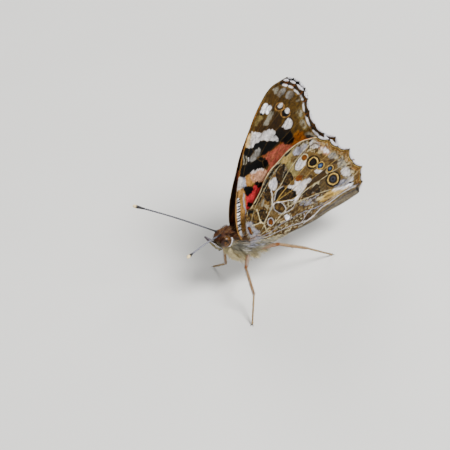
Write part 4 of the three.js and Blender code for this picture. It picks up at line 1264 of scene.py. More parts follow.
# The hindwing's inner face, which was the upper side
HINDWING_INNER = (
    Patch(T.DORSAL_ORANGE, at(-50,-20, 280,-20, 280,240, -50,240)),
    Mottle(T.DORSAL_ROSE, 0.8, 0.5, 0.4),
    Patch(T.OLIVE_BROWN, at(-20,0, -20,90, 30,150, 90,206, 100,180, 80,130, 90,90, 130,60, 200,50, 230,40,
        120,10, 20,0), 0.9, 0.9),
    Patch(T.OCHRE_BROWN, at(120,54, 200,56, 240,64, 240,40, 130,15, 80,10), 0.6, 0.7),
    Patch(T.BLACK, at(86,192, 96,188, 94,150, 106,126, 130,104, 126,98, 98,116, 84,146), 0.3, 0.85),
    # Painted shade: a broad umber border darkens the front part of the outer edge
    Streak(T.UMBER, border(HINDWING_TIPS[:5], 1.0), 1.05, 0.25),
    *(Spot(centre, (0.7, 0.6), 45, ((1, T.BLACK),)) for centre in at(104,167, 121,152, 139,142, 161,129,
        171,103)),
    *edge_spots(HINDWING_TIPS, 1.9, 0.9, (0.75, 0.34), T.BLACK),
    *edge_spots(HINDWING_TIPS, 0.8, 0.35, (0.8, 0.26), T.BLACK),
    *(Streak(T.OCHRE_BROWN, vein, 0.07, 0.07, 0.7) for vein in HINDWING_VEINS),
    Streak(T.BLACK, HINDWING_TIPS, 0.18, 0.1, 0.9),
)


# ---- Wings


def forewing_off(x: Array, z: Array) -> Array:
    """How far the forewing stands from the middle line."""
    return 1.75 - 0.05 * (z - 2.5) + 0.055 * (x + 2)


def hindwing_off(x: Array, z: Array) -> Array:
    """How far the hindwing stands from the middle line."""
    fold = 0.18 * np.log1p(np.exp(1.2 * (x - z) / math.sqrt(2))) / 1.2
    dish = 1.05 * np.exp(-((np.hypot(x - 1.2, z - 1.3) / 2) ** 2))
    return np.maximum(3.1 - fold - dish, 0.45)


@dataclass(frozen=True)
class WingPlan:
    """The flat plan of one kind of wing, its markings and how it stands.

    Args:
        kind: its name.
        front, tips, rear: the parts of its outline; the edge dips between two tips.
        veins: the middle line of each vein.
        root: where it is hinged.
        stand_off: how far it stands from the middle line, from x and z.
        outer_marks, inner_marks: the marks of each face.
        seed: for its random numbers.
        edge_step, net_step: spacing of points along the edge and over the sheet.
        vein_rise, vein_half, vein_flank: height and half width of a vein, and how far its side points lie.
        thin, belly, rib: half thickness at the edge, and what the middle and the front edge add to it.
        sag: how far the cells sink between the veins.
    """

    kind: str
    front: tuple
    tips: tuple
    rear: tuple
    veins: tuple
    root: tuple
    stand_off: object
    outer_marks: tuple
    inner_marks: tuple
    seed: int
    edge_step: float = 0.11
    net_step: float = 0.125
    vein_rise: float = 0.075
    vein_half: float = 0.1
    vein_flank: float = 0.11
    thin: float = 0.04
    belly: float = 0.04
    rib: float = 0.09
    sag: float = 0.06

    def outer_edge(self, step: float) -> Array:
        """The edge from tip to tip, dipping in between the vein ends."""
        edge = []
        for a, b in zip(np.array(self.tips), np.array(self.tips[1:])):
            run = b - a
            length = np.linalg.norm(run)
            t = np.arange(max(2, round(length / step)))[:, None] / max(2, round(length / step))
            inward = np.array([run[1], -run[0]]) / length
            edge.append(a + run * t + inward * SCALLOP_DEPTH * min(1, length / WIDE_CELL) * np.sin(math.pi * t))
        return np.vstack(edge)

    def outline(self) -> Array:
        """The whole edge as a closed loop."""
        front = smooth_path(self.front, self.edge_step)[:-1]
        rear = smooth_path(self.rear, self.edge_step)[:-1]
        return np.vstack([front, self.outer_edge(self.edge_step), rear])


@dataclass(frozen=True)
class WingPose:
    """Which side a wing is on and how far it is swung back about its root."""

    side: int
    swing_deg: float = 0.0

    def place(self, plan: WingPlan, x: Array, z: Array, off: Array) -> Array:
        """Wing plan points as body frame points."""
        swing = math.radians(self.swing_deg)
        dx, dz = x - plan.root[0], z - plan.root[1]
        return np.stack([
            plan.root[0] + dx * math.cos(swing) + dz * math.sin(swing),
            self.side * off,
            plan.root[1] - dx * math.sin(swing) + dz * math.cos(swing),
        ], 1)


class Wing:
    """One kind of wing: a thin sheet with raised veins, painted on both faces."""

    def __init__(self, plan: WingPlan) -> None:
        """Lays out the net of points and paints it.

        Args:
            plan: the wing's plan.
        """
        self.plan = plan
        self.edge = plan.outline()
        veins = [smooth_path(v, plan.net_step) for v in plan.veins]
        rows = []
        for line in veins:
            side = beside(line) * plan.vein_flank
            rows += [line, line + side, line - side]
        crest = np.vstack(rows)
        low, high = self.edge.min(0), self.edge.max(0)
        # A net of even triangles, kept clear of the veins' own points and of the edge
        step, clear_vein, clear_edge = plan.net_step, 0.17, 0.06
        gx, gz = np.meshgrid(np.arange(low[0], high[0], step), np.arange(low[1], high[1], step * 0.866))
        gx = gx + (np.arange(len(gx)) % 2)[:, None] * step / 2
        fill = np.stack([gx.ravel(), gz.ravel()], 1)
        fill = fill[inside(fill, self.edge)]
        to_vein = np.min([gap_to_line(fill, line) for line in veins], axis=0)
        fill = fill[to_vein > clear_vein]
        crest = crest[inside(crest, self.edge)]
        loose = np.vstack([crest, fill])
        loose = loose[gap_to_line(loose, self.edge, closed=True) > clear_edge]
        cells = np.round(loose / clear_edge).astype(int)
        _, first = np.unique(cells, axis=0, return_index=True)
        loose = loose[np.sort(first)]
        flat = np.vstack([self.edge, loose])
        count = len(self.edge)
        ring = [(k, (k + 1) % count) for k in range(count)]
        made = delaunay_2d_cdt([tuple(p) for p in flat], ring, [], 1, 1e-5)
        self.points = np.array([tuple(p) for p in made[0]])
        self.triangles = np.array(made[2])
        self.vein_gap = np.min([gap_to_line(self.points, line) for line in veins], axis=0)
        self.edge_gap = gap_to_line(self.points, self.edge, closed=True)
        self.front_gap = gap_to_line(self.points, smooth_path(plan.front, 0.3))
        self.outer = Painter(self.points, plan.root, plan.seed).run(plan.outer_marks)
        self.inner = Painter(self.points, plan.root, plan.seed + 50).run(plan.inner_marks)

    def build(self, name: str, pose: WingPose) -> Piece:
        """Makes the closed sheet for one side.

        Args:
            name: the piece's name.
            pose: its side and swing.

        Returns:
            The painted wing.
        """
        plan = self.plan
        x, z = self.points.T
        crest = np.exp(-((self.vein_gap / plan.vein_half) ** 2))
        rise = plan.vein_rise * crest * ease(0.0, 0.6, self.edge_gap)
        rib = np.exp(-((self.front_gap / 0.22) ** 2))
        half = plan.thin + plan.belly * ease(0, 1.2, self.edge_gap) + plan.rib * rib
        sag = plan.sag * ease(0.1, 0.9, self.vein_gap) * ease(0, 0.8, self.edge_gap)
        off = plan.stand_off(x, z) - sag
        faces = [pose.place(plan, x, z, off + half + rise), pose.place(plan, x, z, off - half - rise * 0.6)]
        number = len(x)
        front, back = self.triangles, self.triangles[:, [0, 2, 1]] + number
        corners = np.vstack([front[:, [0, 1]], front[:, [1, 2]], front[:, [2, 0]]])
        known = set(map(tuple, corners.tolist()))
        rim = np.array([(m, n) for m, n in corners.tolist() if (n, m) not in known])
        sides = np.vstack([np.stack([rim[:, 0], rim[:, 0] + number, rim[:, 1] + number], 1),
                           np.stack([rim[:, 0], rim[:, 1] + number, rim[:, 1]], 1)])
        low, size = self.points.min(0), np.ptp(self.points, axis=0)
        share = (self.points - low) / size
        tall = size[1] > size[0]
        scale, shift = ([0.48, 0.95], [0.5, 0.0]) if tall else ([0.96, 0.47], [0.0, 0.5])
        maps = np.vstack([0.01 + share * scale, 0.01 + share * scale + shift])
        along = np.arange(len(rim)) / len(rim) * 0.96 + 0.01
        step = 0.9 / len(rim)
        low_uv = np.stack([along, np.full(len(rim), 0.985)], 1)
        strip = [low_uv + shift for shift in ([0, 0], [0, 0.01], [step, 0.01], [0, 0], [step, 0.01], [step, 0])]
        uv = np.vstack([maps[front].reshape(-1, 2), maps[back].reshape(-1, 2),
                        np.stack(strip[:3], 1).reshape(-1, 2), np.stack(strip[3:], 1).reshape(-1, 2)])
        triangles = np.vstack([front, back, sides])
        # The flat net faces -y, so the right wings turn their triangles over
        if pose.side > 0:
            triangles = triangles[:, [0, 2, 1]]
            uv = uv.reshape(-1, 3, 2)[:, [0, 2, 1]].reshape(-1, 2)
        colours = np.vstack([self.outer, self.inner])
        return mesh_of(name, STANCE.place(np.vstack(faces)), triangles, uv, colours)

    def root_hair(self, name: str, pose: WingPose, count: int) -> Piece:
        """Long pale hair that sweeps back over the base of the outer face."""
        rng = np.random.default_rng(self.plan.seed + 9)
        base, reach = np.array(self.plan.root), rng.uniform(0, 1, count) ** 1.4
        turn = np.radians(rng.uniform(-18, 7, count))
        flat = base + np.stack([np.cos(turn), np.sin(turn)], 1) * (reach * 5.0 - 0.6)[:, None] + [0, -0.45]
        flat = flat[inside(flat, self.edge) | (reach < 0.12)]
        number = len(flat)
        off = self.plan.stand_off(*flat.T)
        root = pose.place(self.plan, flat[:, 0], flat[:, 1], off + 0.05)
        way = np.stack([np.ones(number), np.full(number, 0.1 * pose.side), rng.normal(0.02, 0.14, number)], 1)
        tone = np.where(rng.random((number, 1)) < 0.35, Tone.CREAM.light(), Tone.WARM_GREY.light())
        return Tufts(
            root=root, out=np.tile([0.0, float(pose.side), 0.0], (number, 1)), lie=way,
            length=rng.uniform(1.1, 2.2, number), width=rng.uniform(0.07, 0.12, number),
            colour=tone * rng.uniform(0.6, 1.25, (number, 1)), place=rows_of_patches(number), rise=0.12,
        ).build(name)

    def fringe(self, name: str, pose: WingPose) -> Piece:
        """The chequered fringe of scales round the outer edge, in two rows.

        Returns:
            The fringe as a mesh of flat blades.
        """
        plan = self.plan
        rng = np.random.default_rng(plan.seed + 7)
        edge = plan.outer_edge(0.035)
        run = np.gradient(edge, axis=0)
        box = np.ones(41) / 41
        run = np.stack([np.convolve(np.pad(run[:, k], 20, mode="edge"), box, "valid") for k in (0, 1)], 1)
        outward = unit(np.stack([-run[:, 1], run[:, 0]], 1))
        tips = np.array(plan.tips)
        gap = np.min(np.linalg.norm(edge[:, None] - tips[None], axis=2), axis=1)
        pale = ease(0.17, 0.3, gap + rng.normal(0, 0.04, len(edge)))
        colour = blend(Tone.SOOT.light(), Tone.WHITE.light(), pale)
        rear = smooth_path(plan.rear[:-1], 0.06)
        places = np.vstack([edge, edge, rear])
        ways = np.vstack([outward, outward, beside(rear)])
        # The rear edge's hair in the fold's grey, which is darkened as painted shade
        hair = np.tile(Tone.FOLD_GREY.light(), (len(rear), 1))
        colours = np.vstack([colour, colour * [0.55, 0.5, 0.46], hair])
        long = 0.2 + 0.38 * ease(0.05, 0.7, gap)
        lengths = np.concatenate([long, long * 0.6, np.full(len(rear), 0.42)])
        number = len(places)
        ways = ways + rng.normal(0, 0.13, (number, 2))
        places = places - ways * 0.08
        off = plan.stand_off(places[:, 0], places[:, 1]) + rng.uniform(-0.03, 0.03, number)
        root = pose.place(plan, places[:, 0], places[:, 1], off)
        ahead = places + ways * 0.1
        tip = pose.place(plan, ahead[:, 0], ahead[:, 1], plan.stand_off(*ahead.T))
        base = pose.place(plan, places[:, 0], places[:, 1], plan.stand_off(*places.T))
        out = np.tile([0.0, float(pose.side), 0.0], (number, 1))
        return Tufts(
            root=root, out=out, lie=tip - base, length=lengths * rng.uniform(0.8, 1.15, number),
            width=rng.uniform(0.08, 0.12, number), colour=colours * rng.uniform(0.85, 1.08, (number, 1)),
            place=rows_of_patches(number), rise=0.0, thick=0.3, root_shade=0.9,
        ).build(name)


# ---- Body

@dataclass(frozen=True)
class BodyForm:
    """Body sections [x, middle, half height, half width] and the head."""

    thorax: tuple = (
        (-3.4, 1.7, 1.45, 1.0), (-2.95, 1.5, 1.95, 1.22), (-2.35, 1.15, 2.45, 1.4), (-1.6, 0.85, 2.85, 1.52),
        (-0.6, 0.6, 3.0, 1.57), (0.5, 0.5, 3.05, 1.6), (1.5, 0.35, 2.85, 1.55), (2.5, 0.3, 2.4, 1.42),
        (3.2, 0.35, 1.8, 1.25), (3.85, 0.48, 1.35, 1.1),
    )
    abdomen: tuple = (
        (4.5, 0.52, 1.45, 1.25), (5.4, 0.6, 1.7, 1.42), (7.2, 0.85, 1.75, 1.4), (9.2, 1.25, 1.55, 1.2),
        (11.0, 1.75, 1.2, 0.95), (12.6, 2.25, 0.85, 0.68), (13.7, 2.6, 0.5, 0.4), (14.05, 2.72, 0.26, 0.22),
    )
    head_centre: tuple = (-4.5, 0.0, 2.3)
    head_radii: tuple = (1.42, 1.28, 1.5)
    coat_depth: float = 0.2
    ring_step: float = 0.4
    corners: int = 40


@dataclass(frozen=True)
class CoatPart:
    """One part of the body's coat.

    Args:
        name, slot: of the piece.
        count: how many tufts to try.
        seed: for its random numbers.
        length, width: least and most of a tuft's.
        rise, hang: how far a tip stands off and drops, as shares of its length.
        spread: how unevenly the tufts lie.
        keep: which roots to keep, from their x, y and z.
    """

    name: str
    slot: str
    count: int
    seed: int
    length: tuple
    width: tuple
    rise: float
    keep: object
    spread: float = 0.22
    hang: float = 0.0


class Body:
    """Thorax, abdomen and head under one skin, and the coat over it."""

    def __init__(self, form: BodyForm) -> None:
        """Keeps the sizes."""
        self.form = form

    def axis(self, x: Array) -> Array:
        """Height of the body's middle line at x."""
        rows = np.array([(-8.0, 2.3, 0, 0), (-4.5, 2.3, 0, 0), *self.form.thorax, *self.form.abdomen])
        return np.interp(x, rows[:, 0], rows[:, 1])

    def skin(self) -> Piece:
        """Models the body as one closed skin.

        Returns:
            The skin, painted with the same markings as the coat.
        """
        form = self.form
        rings = smooth_path(form.thorax + form.abdomen, form.ring_step)
        rings[:, 2:] = np.maximum(rings[:, 2:] - form.coat_depth, 0.08)
        deselect()
        x, middle, high, wide = rings[0]
        bpy.ops.mesh.primitive_circle_add(vertices=form.corners, radius=1, fill_type="NGON",
                                          location=(x, 0, middle), rotation=(0, math.pi / 2, 0))
        body = active()
        body.scale = (high, wide, 1)
        freeze(body)
        bpy.ops.object.mode_set(mode="EDIT")
        bpy.ops.mesh.select_all(action="SELECT")
        for before, after in zip(rings, rings[1:]):
            shift = (after[0] - before[0], 0, after[1] - before[1])
            bpy.ops.mesh.extrude_region_move(TRANSFORM_OT_translate={"value": shift})
            bpy.ops.transform.resize(value=(1, after[3] / before[3], after[2] / before[2]),
                                     center_override=(after[0], 0, after[1]))
        bpy.ops.mesh.select_all(action="SELECT")
        bpy.ops.mesh.normals_make_consistent(inside=False)
        bpy.ops.object.mode_set(mode="OBJECT")
        bpy.ops.mesh.primitive_uv_sphere_add(segments=48, ring_count=24, location=form.head_centre)
        head = active()
        head.scale = form.head_radii
        freeze(head)
        skin = joined("body_skin", [body, head])
        remesh = skin.modifiers.new("one_skin", "REMESH")
        remesh.mode = "VOXEL"
        remesh.voxel_size = 0.1
        soften = skin.modifiers.new("soften", "SMOOTH")
        soften.iterations = 6
        apply_modifiers(skin)
        points = points_of(skin)
        paint(skin, self.colours(points) * 0.8)
        set_points(skin, STANCE.place(points))
        return settle(skin, "body_skin")

    def colours(self, points: Array, rng: Rng | None = None) -> Array:
        """The coat's colour over the body.

        Args:
            points: body frame points.
            rng: where given, each point is varied as a hair of its own.

        Returns:
            Linear colours.
        """
        jitter = rng.normal(0, 1, (len(points), 3)) if rng else np.zeros((len(points), 3))
        x, y, z = (points + jitter * 0.16).T
        side, height = np.abs(y), z - self.axis(x)
        socket = ease(0.2, 0.8, z) * ease(-2.0, -1.0, x)
        socket *= ease(3.6, 2.6, x) * ease(0.6, 0.9, side)
        rear, back = ease(3.4, 4.4, x), ease(0.5, 1.4, height)
        band = ease(0.3, 0.05, np.abs((x - 4.2) / 1.75 % 1 - 0.5))
        head = ease(-2.9, -3.3, x)
        ring = np.hypot((x + 4.62) / 1.08, (z - 2.3) / 1.15)
        behind = ease(-4.1, -3.9, x) * ease(1.3, 1.15, ring)
        behind *= ease(0.8, 1.0, side) * ease(3.2, 2.8, z)
        colour = Tone.CREAM.light()
        for tone, cover in (
            (Tone.WARM_GREY, ease(-1.4, 0.6, z)),
            (Tone.OCHRE_BROWN, ease(1.3, 2.1, z) * 0.8),
            (Tone.RED_BROWN, ease(1.8, 2.6, z)),
            (Tone.TAN, ease(-2.4, -1.0, x) * ease(1.4, 2.2, z) * 0.85),
            (Tone.LAVENDER, socket * ease(2.4, 1.9, z) * 0.75),
            (Tone.TAN, rear),
            (Tone.CREAM, rear * ease(0.3, -0.6, height)),
            (Tone.STRAW, rear * back * 0.7),
            (Tone.UMBER, rear * back * band * 0.8),
            (Tone.CREAM, head * ease(1.9, 1.2, z)),
            (Tone.RED_BROWN, head * ease(2.7, 3.2, z)),
            (Tone.WHITE, head * behind),
        ):
            colour = blend(colour, tone.light(), cover)
        if rng:
            dark = ease(1.2, 2.4, z) * ease(3.9, 3.2, x)
            colour *= np.clip(1 + jitter[:, :1] * (0.3 + 0.25 * dark[:, None]), 0.25, 2.2)
            colour = blend(colour, Tone.TAN.light(), (rng.random(len(points)) < 0.26) * dark * 0.7)
            colour = blend(colour, Tone.SOOT.light(), (rng.random(len(points)) < 0.2) * dark * 0.8)
        return colour

    def lie(self, points: Array, out: Array) -> Array:
        """The way the coat lies: back along the body, up the face and down the chest."""
        x, z = points[:, 0], points[:, 2]
        way = np.tile([1.0, 0.0, -0.12], (len(points), 1))
        chest = ease(0.6, -1.2, z) * ease(4.6, 2.6, x)
        way[:, 2] -= 0.5 * chest
        face = ease(-4.4, -5.0, x)[:, None]
        way = way * (1 - face) + np.array([-0.25, 0.0, 1.0]) * face
        return unit(way - out * np.sum(way * out, axis=1)[:, None] * 0.9)

    def map_place(self, points: Array) -> Array:
        """Each root's place on the body unrolled along its length."""
        around = np.arctan2(points[:, 1], points[:, 2] - self.axis(points[:, 0])) / (2 * math.pi) + 0.5
        return np.stack([around, (points[:, 0] + 7) / 22], 1) * 0.96 + 0.02

    def coat(self, part: CoatPart, skin: Piece) -> Piece:
        """Grows one part of the coat on the skin, as one mesh."""
        rng = np.random.default_rng(part.seed)
        points, out = sample_skin(skin, part.count, part.seed)
        kept = part.keep(*points.T)
        points, out = points[kept], out[kept]
        number = len(points)
        lie = self.lie(points, out) + rng.normal(0, part.spread, (number, 3))
        lie -= out * np.sum(lie * out, axis=1)[:, None]
        place = self.map_place(points)
        clump = Grain(part.seed).at(place[:, 0] * 26, points[:, 0] / 1.1, 1.0)
        clump = 0.8 * clump + 0.4 * Grain(part.seed + 9).at(place[:, 0] * 60, points[:, 0] / 0.6, 1.0)
        return Tufts(
            root=points, out=out, lie=lie, length=rng.uniform(*part.length, number) * (0.75 + 0.45 * clump),
            width=rng.uniform(*part.width, number),
            colour=self.colours(points + lie * 0.3, rng) * (0.45 + clump)[:, None],
            place=place, rise=part.rise, hang=part.hang,
        ).build(part.name)


def clear_of_eyes(x: Array, y: Array, z: Array, margin: float = 1.12) -> Array:
    """Whether each body frame point is outside both eyes."""
    eye = EyeForm()
    away = (np.stack([x, np.abs(y), z], 1) - np.array(eye.centre)) / np.array(eye.radii)
    return np.linalg.norm(away, axis=1) > margin


def over_wing_root(x: Array, y: Array, z: Array) -> Array:
    """Whether each body frame point lies behind the root of a wing."""
    return (np.abs(y) > 1.0) & (z > 1.9) & (x > -1.4) & (x < 2.6)


COATS = (
    CoatPart("thorax_coat", "dark_fur", 9500, 1, (0.7, 1.3), (0.1, 0.17), 0.22,
             lambda x, y, z: (x > -3.3) & (x < 4.0) & ~over_wing_root(x, y, z)),
    CoatPart("abdomen_coat", "pale_fur", 12000, 2, (0.45, 0.8), (0.1, 0.16), 0.14, lambda x, y, z: x > 3.7),
    CoatPart("head_coat", "dark_fur", 26000, 3, (0.35, 0.75), (0.06, 0.11), 0.4,
             lambda x, y, z: (x < -3.2) & clear_of_eyes(x, y, z)),
    CoatPart("chest_hair", "pale_fur", 9000, 4, (1.5, 2.8), (0.09, 0.15), 0.25,
             lambda x, y, z: (z < 0.3) & (x > -2.6) & (x < 3.4) & (np.sin(x * 3.1) > -0.2), 0.16, 0.2),
    CoatPart("collar_hair", "dark_fur", 15000, 5, (0.8, 1.5), (0.09, 0.15), 0.6,
             lambda x, y, z: (x > -4.6) & (x < -0.9) & (z > 2.4) & clear_of_eyes(x, y, z, 1.2), 0.3),
    CoatPart("wing_base_hair", "pale_fur", 9000, 6, (1.2, 2.2), (0.09, 0.15), 0.65,
             lambda x, y, z: (x > -2.2) & (x < 3.0) & (np.abs(z - 1.2) < 1.2) & (np.abs(y) > 0.9), 0.24, -0.15),
)


# ---- Head parts

@dataclass(frozen=True)
class EyeForm:
    """The right eye; the left one mirrors it."""

    centre: tuple = (-4.5, 1.27, 2.22)
    radii: tuple = (1.08, 0.88, 1.14)
    pupils: tuple = (((-0.19, 0.84, 0.51), 0.25), ((0.34, 0.89, -0.31), 0.18), ((0.2, 0.86, 0.5), 0.1),
                     ((-0.6, 0.7, 0.45), 0.12), ((-0.3, 0.9, -0.1), 0.1), ((0.1, 0.95, -0.05), 0.08))


class Eyes:
    """The two compound eyes with their rims of white scales."""

    def __init__(self, form: EyeForm) -> None:
        """Keeps the sizes."""
        self.form = form

    def build(self, name: str, side: int) -> Piece:
        """Makes one eye."""
        deselect()
        bpy.ops.mesh.primitive_uv_sphere_add(segments=72, ring_count=40)
        eye = active()
        ball = points_of(eye)
        grain = Grain(31)
        centre = np.array(self.form.centre) * [1, side, 1]
        place = ball * np.array(self.form.radii) + centre
        facing = ball * [1, side, 1]
        cloud = grain.at(ball[:, 0] * 3 + ball[:, 1] * 2, ball[:, 2] * 3, 0.55)
        colour = blend(linear(152, 124, 84), linear(84, 62, 40), ease(0.35, 0.75, cloud))
        # Painted sheen: the side that faces forward is tinted reddish brown
        colour = blend(colour, linear(100, 70, 54), ease(-0.25, -0.75, facing[:, 0]) * 0.85)
        colour = blend(colour, linear(160, 134, 100), ease(-0.2, -0.85, facing[:, 2]) * 0.5)
        for way, size in self.form.pupils:
            way = np.array(way) / np.linalg.norm(way)
            gap = np.linalg.norm(facing - way, axis=1)
            colour = blend(colour, linear(30, 18, 12), ease(size * 1.3, size * 0.7, gap) * 0.97)
        set_points(eye, STANCE.place(place))
        paint(eye, colour)
        return settle(eye, name)

    def rim(self, name: str, side: int) -> Piece:
        """White scales round the back of one eye."""
        rng = np.random.default_rng(61)
        count = 420
        turn = rng.uniform(math.radians(-75), math.radians(30), count)
        reach = rng.uniform(0.99, 1.06, count)
        centre, radii = np.array(self.form.centre), np.array(self.form.radii)
        ring = np.stack([np.cos(turn) * reach, 0.12 - 0.5 * (reach - 1), np.sin(turn) * reach], 1)
        points = (centre + ring * radii) * [1, side, 1]
        out = np.stack([np.cos(turn) * 0.7, np.full(count, 0.75), np.sin(turn) * 0.7], 1) * [1, side, 1]
        lie = np.stack([-np.sin(turn) * 0.4 + 0.5, np.full(count, 0.25), np.cos(turn) * 0.5], 1) * [1, side, 1]
        tone = np.where(rng.random((count, 1)) < 0.15, Tone.WARM_GREY.light(), Tone.WHITE.light())
        return Tufts(
            root=points, out=out, lie=lie + rng.normal(0, 0.12, (count, 3)),
            length=rng.uniform(0.2, 0.32, count), width=rng.uniform(0.06, 0.09, count),
            colour=tone, place=rows_of_patches(count), rise=0.2,
        ).build(name)


@dataclass(frozen=True)
class Hairs:
    """How a tube is clad in hairs."""

    count: int
    length: tuple
    width: tuple
    rise: float
    seed: int


def clad(name: str, tube: Tube, hairs: Hairs, tone_at: object, band: tuple = (0.02, 0.96)) -> Piece:
    """Hairs or scales over a tube, lying along it.

    Args:
        name: the piece's name.
        tube: the tube they grow on.
        hairs: their number and sizes.
        tone_at: linear colours from outward directions and shares along.
        band: start and width of its strip across the bake map.

    Returns:
        The hairs as one mesh.
    """
    rng = np.random.default_rng(hairs.seed)
    points, out, along, share = tube.skin(hairs.count, rng)
    number = hairs.count
    around = np.arctan2(out[:, 1], out[:, 2]) / (2 * math.pi) + 0.5
    return Tufts(
        root=points, out=out, lie=along + rng.normal(0, 0.16, (number, 3)),
        length=rng.uniform(*hairs.length, number), width=rng.uniform(*hairs.width, number),
        colour=tone_at(out, share) * rng.uniform(0.8, 1.15, (number, 1)),
        place=np.stack([band[0] + share * band[1], around * 0.96 + 0.02], 1), rise=hairs.rise,
    ).build(name)


class HeadParts:
    """Palps, tongue, feelers and the folded forelegs under the head."""

    def palp_tube(self, side: int) -> Tube:
        """One palp's core."""
        return Tube(((-5.0, side * 0.55, 0.45), (-6.2, side * 0.55, 1.3), (-7.1, side * 0.5, 2.35),
                     (-7.75, side * 0.46, 3.05)), (0.3, 0.32, 0.2, 0.05), 0.15, 4)

    def palp_tone(self, out: Array, share: Array) -> Array:
        """Cream below, a dark stripe and a dark tip above."""
        height = out[:, 2] * 0.75 + out[:, 0] * 0.45
        colour = linear(186, 178, 148)
        for middle, half, tone in ((0.42, 0.26, Tone.WHITE.light()), (0.78, 0.16, linear(88, 72, 80)),
                                   (0.08, 0.16, linear(96, 84, 70))):
            colour = blend(colour, tone, ease(half + 0.08, half - 0.08, np.abs(height - middle)))
        return blend(colour, linear(142, 132, 140), ease(0.74, 0.95, share))

    def foreleg(self, side: int) -> Tube:
        """One short foreleg, folded against the chest."""
        return Tube(((-3.3, side * 0.7, 0.1), (-3.3, side * 0.85, -1.1), (-2.2, side * 0.9, -2.2)),
                    (0.16, 0.2, 0.14), 0.15, 3)

    def tongue(self) -> Tube:
        """The rolled tongue."""
        turn = np.linspace(0, math.pi * 1.55, 12)
        reach = 0.6 - 0.12 * turn / turn[-1]
        path = np.stack([-5.25 - np.cos(turn) * reach, 0 * turn, 0.35 + np.sin(turn) * reach], 1)
        return Tube(tuple(map(tuple, path)), tuple(np.linspace(0.18, 0.13, 12)), 0.1, 3)

    def feeler(self, tip: tuple) -> Tube:
        """One feeler: a thin shaft and a club."""
        side = 1 if tip[1] > 0 else -1
        root, end = np.array([-5.35, side * 0.64, 3.5]), np.array(tip)
        shares = np.array([0, 0.012, 0.03, 0.25, 0.5, 0.75, 0.86, 0.9, 0.94, 0.975, 0.995, 1.0])
        sizes = (0.24, 0.22, 0.17, 0.16, 0.15, 0.15, 0.17, 0.22, 0.3, 0.31, 0.22, 0.08)
        bow = np.sin(shares * math.pi)[:, None] * np.array([0, 0, 0.25])
        return Tube(tuple(map(tuple, root + (end - root) * shares[:, None] + bow)), sizes, 0.09, 3)

    def feeler_tone(self, share: Array, pale_from: float) -> Array:
        """Dark rings parted by white ones, wider past pale_from, a black club and a cream tip."""
        ring = (share * 40) % 1
        start = 0.62 - 0.4 * ease(pale_from, pale_from + 0.1, share)
        pale = (ease(start, start + 0.12, ring) * ease(1.0, 0.92, ring)
                * ease(0.87, 0.85, share) * ease(0.06, 0.16, share))
        colour = blend(linear(64, 52, 62), Tone.LAVENDER.light(), pale)
        return blend(colour, linear(244, 230, 196), ease(0.945, 0.965, share))


# ---- Legs

LEG_SCALES = (Hairs(420, (0.3, 0.5), (0.07, 0.11), 0.12, 11), Hairs(420, (0.28, 0.45), (0.06, 0.1), 0.12, 12),
              Hairs(260, (0.18, 0.28), (0.05, 0.07), 0.15, 13))
LEG_SPINES = (Hairs(22, (0.28, 0.4), (0.04, 0.05), 0.9, 22), Hairs(22, (0.12, 0.17), (0.04, 0.05), 0.9, 23))
# Where the foot is pinched between its joints, as shares of its length
FOOT_JOINTS = (0.0, 0.46, 0.63, 0.76, 0.87, 1.0)


